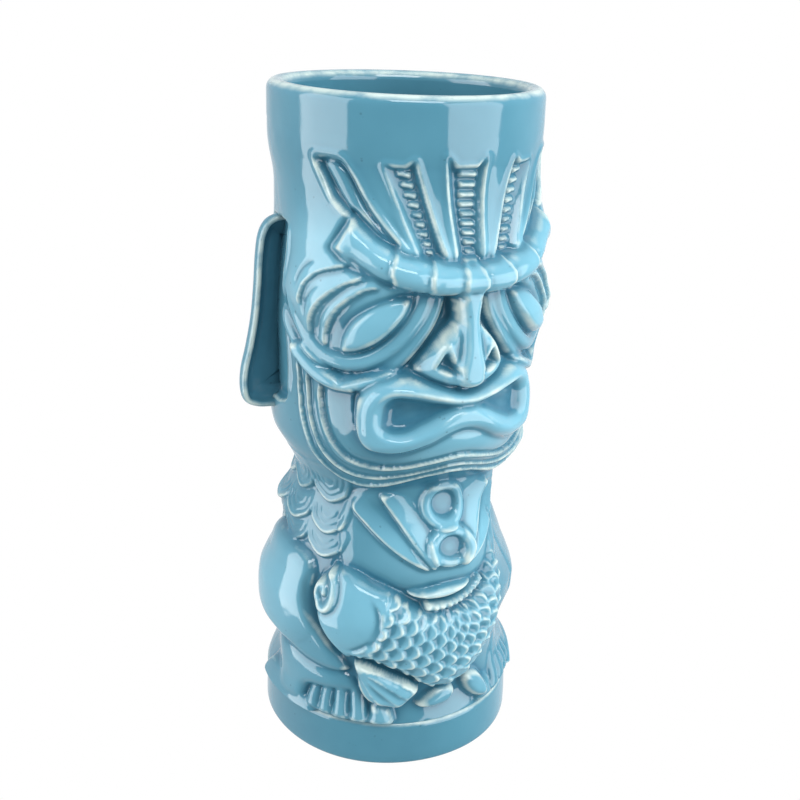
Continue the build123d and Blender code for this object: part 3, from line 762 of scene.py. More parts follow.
for i in range(FIN_BEADS):
    middle, height = bead_places[round((i + 0.5) * (len(bead_places) - 1) / FIN_BEADS)]
    lean = 0.05 * (i - 3)
    face = [(middle - 0.95, height - 0.75 - lean), (middle + 0.95, height - 0.75 + lean),
            (middle + 0.95, height + 0.75 + lean), (middle - 0.95, height + 0.75 - lean)]
    pad(face, 5.2, 0.6, smooth=False, both=False, blend=0.15)

# ---- Where the mug is flatter on its sides ----
SIDE_FLAT = {               # angle of the side: heights, and how much less it stands out there
    66.0: ([18, 22, 26, 31, 36, 40, 44, 50, 56, 60, 64, 68, 74, 77, 79, 85, 88, 91, 98, 105, 110,
            114, 119, 124, 128, 132, 137, 142, 148],
           [0, 1.4, 3.8, 4.6, 2.2, -0.2, -0.8, 1.4, 2.9, 4.2, 4.4, 3.3, 3.0, 1.8, -0.8, -2.2, -1.6,
            0.2, 1.3, 2.1, 3.6, 3.0, 1.0, -1.1, -0.6, 1.6, 3.1, 1.8, 0]),
    -112.0: ([14, 16, 21, 26, 31, 36, 48, 54, 61, 65, 68, 71, 76, 80, 85, 90],
             [0, 0.6, 2.4, 2.4, 1.0, 0, 0.4, 1.6, 1.4, -0.8, -1.6, -0.4, 1.0, 2.2, 1.4, 0]),
}
for side_angle, (levels, less) in SIDE_FLAT.items():
    off = (ANGLES[None, :] - side_angle + 180) % 360 - 180
    relief -= bump(off, 28.0) * np.interp(HEIGHTS, levels, less)[:, None]

# ---- The skin's pieces, in the order they are cut out ----
def grown(outline, out):
    """An outline moved outwards by out millimetres."""
    k = math.radians(36.0)
    p = np.array(outline, float) * [k, 1.0]
    area = np.sum(p[:, 0] * np.roll(p[:, 1], -1) - np.roll(p[:, 0], -1) * p[:, 1])
    run = np.roll(p, -1, axis=0) - np.roll(p, 1, axis=0)
    run /= np.maximum(np.hypot(*run.T), 1e-9)[:, None]
    p += np.stack([run[:, 1], -run[:, 0]], axis=1) * out * np.sign(area)
    return p / [k, 1.0]


for hand, tag in SIDES:
    piece("crest_beads_" + tag, groove_outline("left"), hand)
    piece("crest_spear_rib_" + tag, closed(SPEAR_LEAF), hand)
piece("crest_beads_centre", groove_outline("centre"))
BROW_GAPS = [-50.4, -27.5, -15.0, -4.0, 4.0, 15.0, 27.5, 50.4]
BROW_NAMES = ["3_left", "2_left", "1_left", "centre", "1_right", "2_right", "3_right"]
for name, low, high in zip(BROW_NAMES, BROW_GAPS, BROW_GAPS[1:]):
    edges = []
    for line, lift in ((BROW_UPPER, 0.3), (BROW_LOWER, -0.3)):
        t, z = np.array(line).T
        turn = np.linspace(max(low, t[0] - 0.3), min(high, t[-1] + 0.3), 14)
        edges.append(np.stack([turn, np.interp(turn, t, z) + lift], 1))
    piece("brow_segment_" + name, np.vstack([edges[0], edges[1][::-1]]))
NOSE_SIDE = [(5.6, 130), (8, 127.8), (13, 124.4), (17.6, 120.4), (20.2, 117.2), (18.4, 115.4),
    (11, 113.4)]
piece("nose", [(-6, 135), (6, 135)] + NOSE_SIDE + [(0, 112)]
      + flipped(NOSE_SIDE[::-1]))
piece("lips", lip_shape)
for hand, tag in SIDES:
    piece("eye_" + tag, grown(closed(EYE), 0.3), hand)
for hand, tag in SIDES:
    piece("eye_ring_inner_" + tag, ribbon(RING_IN, 2.5), hand)
    piece("eye_ring_outer_" + tag, ribbon(RING_OUT, 2.5), hand)
    piece("temple_ridges_" + tag, closed(LID_BED), hand)
INNER_JAW = whole([(-40.6, 111.4), (-41, 106), (-39.4, 100), (-35.6, 96.2), (-30, 94.6),
    (-22, 94.9), (-12, 97), (0, 100.4)])
middle_line, outer_line = JAW_LINES[1][0], JAW_LINES[3][0]
for name, outer, inner in (("outer", JAW, outer_line), ("middle", outer_line, middle_line),
                           ("inner", middle_line, INNER_JAW)):
    piece("jowl_" + name, np.vstack([smooth_line(outer), smooth_line(inner)[::-1]]))
for ring_centre, half_x, half_z in PENDANT_RINGS:
    piece("pendant", pendant_ring(ring_centre, half_x + 1.5, half_z + 1.5))
piece("fish_lip", ribbon(HOOK[:8], 1.5))
piece("fish_fin_beads", ribbon(BEAD_LINE, 1.5))
for name, line in (("fish_head", FISH_HEAD), ("fish_fin", FISH_FIN), ("fish_tail", FISH_TAIL),
                   ("fish_body", FISH_BODY), ("belly_fold", DORSAL_FIN)):
    piece(name, closed(line))
for hand, tag in SIDES:
    piece("necklace_leaf_short_" + tag, closed(LEAF_SHORT), hand)
    piece("necklace_leaf_long_" + tag, closed(LEAF_LONG), hand)
    for *toe, out in TOES:
        piece("toes_" + tag, closed(toe_outline(*toe)), hand)
    piece("arm_" + tag, closed(ARM), hand)
    piece("instep_" + tag, closed(LEG), hand)
    for row, (low_z, high_z) in zip("123", reversed(CAPE_ROWS)):
        for column in CAPE_COLUMNS:
            piece(f"cape_row_{row}_{tag}", closed(scale_outline(column, low_z, high_z)), hand)
    piece("crest_ribs_" + tag, grown(groove_outline("left"), 1.3), hand)
    piece("crest_spear_" + tag, grown(closed(SPEAR), 0.8), hand)
piece("crest_ribs_centre", grown(groove_outline("centre"), 1.3))
for stone in PEBBLES:
    piece("pebble", closed(stone))


# ---- Meshes: finishing the relief ----
def blurred(grid, reach):
    """A grid eased over reach millimetres. Its columns wrap round and its rows don't."""
    half = max(1, int(math.ceil(3 * reach / STEP)))
    kernel = np.exp(-0.5 * (np.arange(-half, half + 1) * STEP / reach) ** 2)
    kernel /= kernel.sum()
    tall = np.pad(grid, ((half, half), (0, 0)), mode="edge")
    down = sum(k * tall[i:i + grid.shape[0]] for i, k in enumerate(kernel))
    wide = np.pad(down, ((0, 0), (half, half)), mode="wrap")
    return sum(k * wide[:, i:i + grid.shape[1]] for i, k in enumerate(kernel))


def lowest_near(grid, reach):
    """The lowest height within reach millimetres of each place."""
    half = int(round(reach / STEP))
    tall = np.pad(grid, ((half, half), (0, 0)), mode="edge")
    down = np.min([tall[i:i + grid.shape[0]] for i in range(2 * half + 1)], axis=0)
    wide = np.pad(down, ((0, 0), (half, half)), mode="wrap")
    return np.min([wide[:, i:i + grid.shape[1]] for i in range(2 * half + 1)], axis=0)


def wobble(angles, heights, size, seed, waves=24):
    """Slow hand-made unevenness of about unit size, the same on every run."""
    pick = np.random.default_rng(seed)
    turn = np.radians(angles)
    total = np.zeros(np.broadcast(angles, heights).shape)
    for _ in range(waves):
        round_count = pick.integers(0, max(1, int(220 / size)))
        up = pick.uniform(-1, 1) * 2 * math.pi / size
        total = total + np.cos(round_count * turn + up * heights + pick.uniform(0, 2 * math.pi))
    return total / math.sqrt(waves)


GLAZE_BLUR = 0.30           # how far the glaze fills and softens the carving
SOCKET_DEPTH = 0.8
relief = blurred(relief, GLAZE_BLUR)
relief += 0.10 * wobble(ANGLES[None, :], HEIGHTS[:, None], 26.0, 5)
relief += 0.018 * wobble(ANGLES[None, :], HEIGHTS[:, None], 5.0, 9, 40)
# Glaze breaks to cream on sharp edges. Hollows take the deep colour, partly glaze that pools there
# and partly painted shade, and raised forms take the thin colour, partly thin glaze and partly
# painted light.
fine_edge = relief - blurred(relief, 0.9)
sharp_edge = relief - blurred(relief, 0.5)
broad_edge = blurred(relief, 0.7) - blurred(relief, 2.6)
ridge_grid = blurred(swell((sharp_edge - 0.065) / 0.17), 0.22)
pool_grid = swell(-fine_edge / 0.24) * 0.75 + swell((-broad_edge - 0.1) / 0.9) * 0.75
# Raised forms get lighter: partly thin glaze, partly painted light where they stand out.
thin_and_lit_grid = 0.9 * swell((blurred(relief, 1.0) - 0.8) / 4.5)
pool_grid = blurred(pool_grid - thin_and_lit_grid * (1 - np.clip(pool_grid, 0, 1)), 0.35)
socket_grid = blurred(np.minimum(0.0, lowest_near(relief, 1.6)), 1.2) - SOCKET_DEPTH

# ---- Meshes: the skin and the cuts through it ----
ANGLE, Z, RELIEF, RIDGE, POOL_SHADE, SOCKET = range(6)


def skin_grid():
    rows, columns = relief.shape
    a, z = np.meshgrid(ANGLES, HEIGHTS)
    values = np.stack([g.ravel() for g in (a, z, relief, ridge_grid, pool_grid, socket_grid)], 1)
    index = np.arange(rows * columns).reshape(rows, columns)
    right = np.roll(index, -1, axis=1)
    p, q, r, s = (g.ravel() for g in (index[:-1], right[:-1], right[1:], index[1:]))
    swap = (np.add.outer(np.arange(rows - 1), np.arange(columns)) % 2).ravel().astype(bool)
    one = np.stack([p, q, np.where(swap, s, r)], 1)
    two = np.stack([np.where(swap, q, p), r, s], 1)
    return values, np.vstack([one, two])


def cut(values, triangles, labels, outline, label):
    """Splits the triangles that an outline crosses, and labels the unclaimed ones inside it."""
    margin = np.array([2.0, 1.5])
    low, high = outline.min(axis=0) - margin, outline.max(axis=0) + margin
    near = ((values[:, ANGLE] >= low[0]) & (values[:, ANGLE] <= high[0])
            & (values[:, Z] >= low[1]) & (values[:, Z] <= high[1]))
    ids = np.nonzero(near)[0]
    f = np.full(len(values), -9.0)
    patch = Patch(values[ids, ANGLE], values[ids, Z], 0.5 * (low[1] + high[1]))
    f[ids] = np.minimum(patch.inside(outline), values[ids, Z] - HEIGHTS[0] - 1.2 * STEP)
    f[np.abs(f) < 0.14 * STEP] = 0.0
    local = near[triangles].all(axis=1)
    here, here_labels = triangles[local], labels[local]
    sign = np.sign(f[here])
    crossing = (sign.min(axis=1) < 0) & (sign.max(axis=1) > 0)
    new_rows, made, new_triangles, new_labels = [], {}, [], []

    def between(a, b):
        key = (a, b) if a < b else (b, a)
        if key not in made:
            t = f[key[0]] / (f[key[0]] - f[key[1]])
            made[key] = len(values) + len(new_rows)
            new_rows.append(values[key[0]] * (1 - t) + values[key[1]] * t)
        return made[key]

    for triangle, s, owner in zip(here[crossing].tolist(), sign[crossing].tolist(),
                                  here_labels[crossing].tolist()):
        on_line = 0 in s
        i = s.index(0) if on_line else next(j for j in range(3)
                                            if s[j] != s[j - 1] and s[j] != s[j - 2])
        a, b, c = triangle[i], triangle[i - 2], triangle[i - 1]
        if on_line:
            p = between(b, c)
            fresh = [(a, b, p), (a, p, c)]
        else:
            p, q = between(a, b), between(a, c)
            fresh = [(a, p, q), (p, b, c), (p, c, q)]
        new_triangles += fresh
        new_labels += [owner] * len(fresh)
    here, here_labels = here[~crossing], here_labels[~crossing]
    if new_rows:
        values = np.vstack([values, np.array(new_rows)])
        f = np.concatenate([f, np.zeros(len(new_rows))])
        here = np.vstack([here, np.array(new_triangles)])
        here_labels = np.concatenate([here_labels, np.array(new_labels)])
    inside = (f[here].sum(axis=1) > 0) & (here_labels < 0)
    here_labels = np.where(inside, label, here_labels)
    return (values, np.vstack([triangles[~local], here]),
            np.concatenate([labels[~local], here_labels]))


names = list(dict.fromkeys(name for name, _ in pieces))
skin, triangles = skin_grid()
labels = np.full(len(triangles), -1)
for name, outline in pieces:
    skin, triangles, labels = cut(skin, triangles, labels, outline, names.index(name))


def on_wall(angle, z, height):
    """Places on the wall as points in metres, height above the wall's own surface."""
    turn = np.radians(angle)
    r = wall_radius(z) + height
    return np.stack([r * np.sin(turn), -r * np.cos(turn), z], axis=-1) * MM


skin_points = on_wall(skin[:, ANGLE], skin[:, Z], skin[:, RELIEF])


def face_normals(points, faces):
    a, b, c = (points[faces[:, i]] for i in range(3))
    return np.cross(b - a, c - a)


def unit(vectors):
    return vectors / np.maximum(np.linalg.norm(vectors, axis=1), 1e-20)[:, None]


def vertex_normals(points, faces):
    face = face_normals(points, faces)
    normals = np.zeros_like(points)
    for i in range(3):
        np.add.at(normals, faces[:, i], face)
    return unit(normals)


# ---- Meshes: tidying the labels ----
SMALLEST = 36               # a patch of fewer triangles than this joins its neighbour


def shared_edges(faces):
    """Every edge of the faces, the face that has it, and a number for its two ends."""
    edges = np.concatenate([faces[:, [0, 1]], faces[:, [1, 2]], faces[:, [2, 0]]])
    owner = np.tile(np.arange(len(faces)), 3)
    return edges, owner, edges.min(axis=1).astype(np.int64) * (faces.max() + 1) + edges.max(axis=1)


def merge_crumbs(faces, labels):
    """Gives each small stray patch of a label to the label that most of its edges touch."""
    _, owner, key = shared_edges(faces)
    order = np.argsort(key, kind="stable")
    same = key[order][:-1] == key[order][1:]
    one, two = owner[order][:-1][same], owner[order][1:][same]
    for _ in range(3):
        joined = labels[one] == labels[two]
        a, b = one[joined], two[joined]
        group = np.arange(len(faces))
        while True:
            low = np.minimum(group[a], group[b])
            new = group.copy()
            np.minimum.at(new, a, low)
            np.minimum.at(new, b, low)
            new = new[new]
            if (new == group).all():
                break
            group = new
        size = np.bincount(group, minlength=len(faces))
        crumb = size[group] < SMALLEST
        if not crumb.any():
            break
        a, b = one[~joined], two[~joined]
        votes = {}
        for x, y in ((a, b), (b, a)):
            edge_in = crumb[x] & ~crumb[y]
            for g, label in zip(group[x[edge_in]].tolist(), labels[y[edge_in]].tolist()):
                counts = votes.setdefault(g, {})
                counts[label] = counts.get(label, 0) + 1
        labels = labels.copy()
        for g, counts in votes.items():
            labels[group == g] = max(sorted(counts), key=counts.get)
    return labels


labels = merge_crumbs(triangles, labels)


def border(faces):
    """The directed edges that only one of these faces has."""
    edges, _, key = shared_edges(faces)
    _, where, counts = np.unique(key, return_inverse=True, return_counts=True)
    return edges[counts[where] == 1]


# ---- Meshes: sockets, the hidden floors under the pieces ----
FLOOR_STEP = 3.0            # spacing of a floor's own points
PER_DEGREE = math.radians(36.0)


def grid_value(grid, angle, z):
    """A grid's value at any place, between its four neighbours."""
    i = np.clip(np.searchsorted(ANGLES, angle) - 1, 0, len(ANGLES) - 2)
    j = np.clip(np.searchsorted(HEIGHTS, z) - 1, 0, len(HEIGHTS) - 2)
    u = (angle - ANGLES[i]) / (ANGLES[i + 1] - ANGLES[i])
    v = (z - HEIGHTS[j]) / (HEIGHTS[j + 1] - HEIGHTS[j])
    return ((1 - u) * (1 - v) * grid[j, i] + u * (1 - v) * grid[j, i + 1]
            + (1 - u) * v * grid[j + 1, i] + u * v * grid[j + 1, i + 1])


def odd_inside(x, z, starts, ends):
    """Whether places are inside the region that directed edges go round."""
    odd = np.zeros(x.shape, bool)
    for (ax, az), (bx, bz) in zip(starts, ends):
        if az != bz:
            odd ^= ((az > z) != (bz > z)) & (x < ax + (z - az) * (bx - ax) / (bz - az))
    return odd


def floor_of(edges):
    """Covers the region inside directed border edges with few triangles. Gives the new
    places that it adds and its faces, which number skin points first and new places after."""
    used, local = np.unique(edges, return_inverse=True)
    local = local.reshape(edges.shape)
    flat = skin[used][:, [ANGLE, Z]] * [PER_DEGREE, 1.0]
    low, high = flat.min(axis=0), flat.max(axis=0)
    x, z = np.meshgrid(np.arange(low[0] + 1.5, high[0], FLOOR_STEP),
                       np.arange(low[1] + 1.5, high[1], FLOOR_STEP))
    x = (x + (np.arange(x.shape[0]) % 2)[:, None] * FLOOR_STEP / 2).ravel()
    z = z.ravel()
    starts, ends = flat[local[:, 0]], flat[local[:, 1]]
    if len(x):
        clear = np.min([np.hypot(x - px, z - pz) for px, pz in flat], axis=0)
        keep = (clear > 1.3) & odd_inside(x, z, starts, ends)
        x, z = x[keep], z[keep]
    every = np.vstack([flat, np.stack([x, z], axis=1)])
    points, _, faces, origin, *_ = delaunay_2d_cdt(
        [Vector(p) for p in every - every.mean(axis=0)], local.tolist(), [], 0, 1e-7, True)
    if len(points) != len(every) or any(len(o) != 1 for o in origin):
        return None
    faces = np.array([o[0] for o in origin])[np.array(faces)]
    centre = every[faces].mean(axis=1)
    faces = faces[odd_inside(centre[:, 0], centre[:, 1], starts, ends)]
    a, b, c = (every[faces[:, i]] for i in range(3))
    turn = (b[:, 0] - a[:, 0]) * (c[:, 1] - a[:, 1]) - (b[:, 1] - a[:, 1]) * (c[:, 0] - a[:, 0])
    faces = np.where((turn < 0)[:, None], faces[:, ::-1], faces)
    if set(map(tuple, border(faces).tolist())) != set(map(tuple, local.tolist())):
        return None
    places = np.stack([x / PER_DEGREE, z], axis=1)
    number = np.concatenate([used, len(skin) + np.arange(len(places))])
    return places, number[faces]


# A point's number: below `count` it is on the skin, and then its twin is on the socket's
# floor, count further on. The floors' own points come after both.
count = len(skin)
twin_points = on_wall(skin[:, ANGLE], skin[:, Z], skin[:, SOCKET])
floor_points, floors = [], {}
floor_total = 2 * count
for label in range(len(names)):
    faces = triangles[labels == label]
    made = floor_of(border(faces))
    if made is None:            # where no simple floor fits, the skin's own faces are copied
        floors[label] = faces + count
        continue
    places, cover = made
    floors[label] = np.where(cover < count, cover + count, cover - count + floor_total)
    floor_points.append(on_wall(*places.T, grid_value(socket_grid, *places.T)))
    floor_total += len(places)


def walls(edges):
    a, b = edges[:, 0], edges[:, 1]
    return np.vstack([np.stack([b, a, a + count], 1), np.stack([b, a + count, b + count], 1)])


# ---- Meshes: the rim and the inside of the cup ----
RIM_HALF = WALL / 2
RIM_ROUND = 2.5


def rim_profile():
    """(radius, height, ridge, pool shade) from above the carving, over the rim and down inside.
    Down inside the cup a little of the pool-and-shade colour darkens it.
    """
    top = HEIGHT - RIM_ROUND
    rows = [(float(wall_radius(z)), z, 0.0, 0.0) for z in np.linspace(HEIGHTS[-1] + 1.0, top, 6)]
    for t in np.linspace(0, math.pi, 13)[1:-1]:
        cream = bump(t - 1.15, 0.5) + 0.9 * bump(t - 2.3, 0.4)
        rows.append((RIM_RADIUS - RIM_HALF + RIM_HALF * math.cos(t), top + RIM_ROUND * math.sin(t),
                     min(1.0, cream), 0.0))
    for z in (*np.linspace(top, 155.0, 6), *np.linspace(148.0, PLINTH_TOP, 18)):
        rows.append((float(np.interp(z, *hollow_curve)), z, 0.0, 0.15))
    return rows


def ring(radius, z, turn):
    """Points round the axis in millimetres, from the back and past the face."""
    return np.stack([radius * np.sin(turn), -radius * np.cos(turn), z], axis=-1)


columns = len(ANGLES)
rim_rows = rim_profile()
rim_points, rim_ridge, rim_pool = [], [], []
for i, (r, z, ridge, pool) in enumerate(rim_rows):
    level = np.full(columns, z)
    out = relief[-1] * max(0.0, 1 - i / 8) + 0.05 * wobble(ANGLES, level, 30.0, 14)
    if z > RELIEF_TOP + 5:
        level += 0.12 * wobble(ANGLES, np.zeros(columns), 60.0, 21)
    rim_points.append(ring(r + out, level, np.radians(ANGLES)) * MM)
    rim_ridge.append(np.full(columns, ridge))
    rim_pool.append(np.full(columns, pool))
rim_start = floor_total
rings = [np.arange((len(HEIGHTS) - 1) * columns, len(HEIGHTS) * columns)]
rings += [rim_start + i * columns + np.arange(columns) for i in range(len(rim_rows))]


def between_rings(lower, upper):
    right_low, right_up = np.roll(lower, -1), np.roll(upper, -1)
    return np.vstack([np.stack([lower, right_low, right_up], 1),
                      np.stack([lower, right_up, upper], 1)])


rim_faces = np.vstack([between_rings(a, b) for a, b in zip(rings, rings[1:])])
foot_faces = between_rings(rings[-1], np.arange(columns))

all_points = np.vstack([skin_points, twin_points] + floor_points + [np.vstack(rim_points)])
smooth_normals = vertex_normals(all_points, np.vstack([triangles, rim_faces]))
blank = np.zeros(rim_start - count)
all_ridge = np.concatenate([skin[:, RIDGE], blank, np.concatenate(rim_ridge)])
all_pool = np.concatenate([skin[:, POOL_SHADE], blank, np.concatenate(rim_pool)])


def add_piece(name, mesh, **attributes):
    """Puts a finished mesh into the scene as a piece that the glaze can read."""
    for attribute, values in attributes.items():
        layer = mesh.attributes.new(attribute, "FLOAT", "POINT")
        layer.data.foreach_set("value", np.asarray(values, np.float32))
    made_pieces[name] = bpy.data.objects.new("glazed_" + name, mesh)
    bpy.context.collection.objects.link(made_pieces[name])


def skin_piece(name, smooth_faces, flat_faces):
    """A piece from faces that take the skin's own normals and hidden faces that are flat."""
    faces = np.vstack([smooth_faces, flat_faces])
    used, local = np.unique(faces, return_inverse=True)
    local = local.reshape(faces.shape)
    mesh = bpy.data.meshes.new(name)
    mesh.vertices.add(len(used))
    mesh.vertices.foreach_set("co", all_points[used].astype(np.float32).ravel())
    mesh.loops.add(local.size)
    mesh.loops.foreach_set("vertex_index", local.astype(np.int32).ravel())
    mesh.polygons.add(len(local))
    mesh.polygons.foreach_set("loop_start", np.arange(0, local.size, 3, dtype=np.int32))
    mesh.update(calc_edges=True)
    mesh.shade_smooth()
    flat = unit(face_normals(all_points, flat_faces))
    corner = np.vstack([smooth_normals[smooth_faces], np.repeat(flat[:, None, :], 3, axis=1)])
    mesh.normals_split_custom_set(corner.reshape(-1, 3).tolist())
    add_piece(name, mesh, ridge=all_ridge[used], pool=all_pool[used])


made_pieces = {}
outer = triangles[labels == -1]
edges = border(outer)
row_of = np.where(edges < len(HEIGHTS) * columns, edges // columns, -1)
on_end = ((row_of == 0).all(axis=1) | (row_of == len(HEIGHTS) - 1).all(axis=1))
skin_piece("cup_shell", np.vstack([outer, rim_faces]),
           np.vstack([walls(edges[~on_end]), foot_faces] + list(floors.values())))
for label, cover in floors.items():
    faces = triangles[labels == label]
    skin_piece(names[label], faces, np.vstack([walls(border(faces)), cover[:, ::-1]]))


# ---- Plinth ----
def plain_piece(name, points, faces, **attributes):
    """A smooth-shaded closed piece from a list of points in millimetres."""
    mesh = bpy.data.meshes.new(name)
    mesh.from_pydata((np.asarray(points) * MM).tolist(), [], faces)
    mesh.shade_smooth()
    mesh.update()
    add_piece(name, mesh, **attributes)


def arc(middle, radius, start, end, parts):
    """(radius, height) points round a corner, from one angle to another in degrees."""
    t = np.radians(np.linspace(start, end, parts))
    return [(middle[0] + radius * math.cos(a), middle[1] + radius * math.sin(a)) for a in t]


def make_plinth(around=240):
    r, top = PLINTH_RADIUS, PLINTH_TOP
    profile = [(8, 0.9), (16, 0.9), (23.5, 0.9)] + arc((24.3, 0.8), 0.8, 180, 270, 4)
    foot_start = len(profile) - 1
    profile += [(27, 0), (30, 0), (33, 0)]
    profile += arc((r - 1.5, 1.5), 1.5, 270, 360, 6)
    foot_end = len(profile) - 4
    profile += [(r, 3.2), (r, 5.0), (r - 0.05, 7.0), (r - 0.1, 9.0), (r - 0.15, 10.6)]
    edge = len(profile)
    profile += arc((r - 1.75, top - 1.6), 1.6, 0, 90, 8)
    profile += [(33.0, top), (31.0, top)] + arc((30.2, top - 0.6), 0.6, 90, 180, 3)
    profile += [(29.6, 11.0), (29.6, 9.0)] + arc((27.1, FLOOR_TOP + 2.5), 2.5, 0, -90, 6)[1:]
    profile += [(22.0, FLOOR_TOP), (14.0, FLOOR_TOP), (7.0, FLOOR_TOP)]
    turn = np.linspace(-math.pi, math.pi, around, endpoint=False)
    level = np.zeros(around)
    points, ridge, pool, bare = [], [], [], []
    for i, (radius, z) in enumerate(profile):
        sway = 0.14 * wobble(np.degrees(turn), level + z, 34.0, 31) if radius > 30 else 0.0
        lift = 0.16 * wobble(np.degrees(turn), level, 50.0, 37) * (edge - 2 <= i <= edge + 9)
        points.append(ring(np.minimum(radius + sway, r + 0.1), level + z + lift, turn))
        glow = bump(i - edge - 3.4, 1.7)
        ridge.append(glow * (0.75 + 0.25 * wobble(np.degrees(turn), level, 22.0, 41)))
        # A few rows of the plinth's top, where the cup stands, get some of the pool colour as
        # painted shade at the join.
        pool.append(level + 0.25 * (edge + 8 <= i <= edge + 10))
        bare.append(level + (foot_start <= i <= foot_end))
    last = len(profile) - 1
    j = np.arange(around)
    k = (j + 1) % around
    faces = [tuple(q) for i in range(last)
             for q in (np.stack([j, k, k + around, j + around], 1) + i * around).tolist()]
    for row, middle in ((0, (last + 1) * around), (last, (last + 1) * around + 1)):
        caps = np.stack([j + row * around, k + row * around, np.full(around, middle)], 1)
        faces += [tuple(q) for q in (caps[:, [0, 2, 1]] if row == 0 else caps).tolist()]
    points = np.vstack(points + [(0.0, 0.0, 0.9), (0.0, 0.0, FLOOR_TOP)])
    # The middles of the inside floor and of the underside get some of the pool colour as painted
    # shade.
    plain_piece("plinth", points, faces, ridge=np.append(ridge, [0, 0]),
                pool=np.append(pool, [0.2, 0.2]), bare=np.append(bare, [0, 0]))


make_plinth()

# ---- Ears ----
EAR_OUTLINE = [(-30.6, 148), (-33.4, 147.6), (-36, 146), (-37.7, 142.6), (-38.5, 137),
    (-39, 129.5), (-39.8, 121.6), (-41.2, 114), (-42.7, 107.6), (-43, 102.4), (-41.9, 98.6),
    (-38.8, 96.9), (-34.8, 96.4), (-30.6, 96.2)]
EAR_BACK = 7.0              # how far the ears stand behind the mug's widest place
EAR_PROFILE = [             # in from the edge, y, ridge, pool shade: back, edge, rim, then the hollow. The cream on the front rim is partly glaze break and partly a painted highlight, and the pool colour in the hollow is painted shade.
    (5.0, 2.4, 0.0, 0.05), (3.4, 1.5, 0.0, 0.0), (2.0, 0.5, 0.0, 0.0), (1.0, -0.5, 0.1, 0.0),
    (0.3, -1.5, 0.15, 0.0), (0.0, -2.5, 0.0, 0.0), (0.0, -3.4, 0.1, 0.0), (0.12, -4.2, 0.3, 0.0),
    (0.42, -4.8, 0.7, 0.0), (0.85, -5.0, 0.9, 0.0), (1.25, -4.9, 0.6, 0.0),
    (1.6, -4.5, 0.2, 0.2), (1.85, -3.9, 0.0, 0.4), (2.3, -3.2, 0.0, 0.6), (3.0, -2.6, 0.0, 0.7),
    (4.0, -2.2, 0.0, 0.7), (5.6, -2.0, 0.0, 0.7)]
EAR_ROOT_BACK = ((1, 4.6), (0.62, 3.8), (0.3, 3))        # share of the way to the spine, y
EAR_ROOT_FRONT = ((0.25, -1.7), (0.55, -1.3), (1, -0.8))
EAR_SPINE = -30.2           # the ear's root, inside the cup's wall


def make_ear(sign):
    line = smooth_line(EAR_OUTLINE, parts=9)
    run = np.gradient(line, axis=0)
    run /= np.hypot(*run.T)[:, None]
    inward = np.stack([-run[:, 1], run[:, 0]], axis=1)
    inward *= np.sign(inward[len(line) // 2, 0])
    share = np.linspace(0, 1, len(line))
    spine = np.stack([np.full(len(line), EAR_SPINE), 143.6 - (143.6 - 100.4) * swell(share)], 1)
    back = line + inward * EAR_PROFILE[0][0]
    front = line + inward * EAR_PROFILE[-1][0]
    rows = [(back + (spine - back) * t, y, 0.0, 0.05) for t, y in EAR_ROOT_BACK]
    rows += [(line + inward * depth, *rest) for depth, *rest in EAR_PROFILE]
    # The hollow's front, out to the root, is painted dark as shade in the hollow.
    rows += [(front + (spine - front) * t, y, 0.0, 0.7) for t, y in EAR_ROOT_FRONT]
    n, m = len(line), len(rows)
    points = [(-sign * x, y + EAR_BACK, z) for place, y, _, _ in rows for x, z in place]
    ridge, pool = (np.repeat([row[i] for row in rows], n) for i in (2, 3))
    turn = 1 if sign > 0 else -1
    faces = []
    for i in range(m):
        for j in range(n - 1):
            above = (i + 1) % m * n + j
            faces.append((i * n + j, i * n + j + 1, above + 1, above)[::turn])
    for j, way in ((0, turn), (n - 1, -turn)):
        faces.append(tuple(i * n + j for i in range(m))[::way])
    plain_piece("ear_left" if sign < 0 else "ear_right", points, faces, ridge=ridge, pool=pool)


make_ear(-1)
make_ear(1)


# ---- Materials ----
def node_maker(tree):
    """node(kind, {input: value, colour or socket}, settings) for a cleared node tree."""
    tree.nodes.clear()

    def node(kind, inputs=(), **settings):
        made = tree.nodes.new("ShaderNode" + kind)
        for key, value in settings.items():
            setattr(made, key, value)
        for key, value in dict(inputs).items():
            if isinstance(value, bpy.types.NodeSocket):
                tree.links.new(value, made.inputs[key])
            elif isinstance(value, tuple):
                made.inputs[key].default_value = (*value, 1.0)
            else:
                made.inputs[key].default_value = value
        return made
    return node


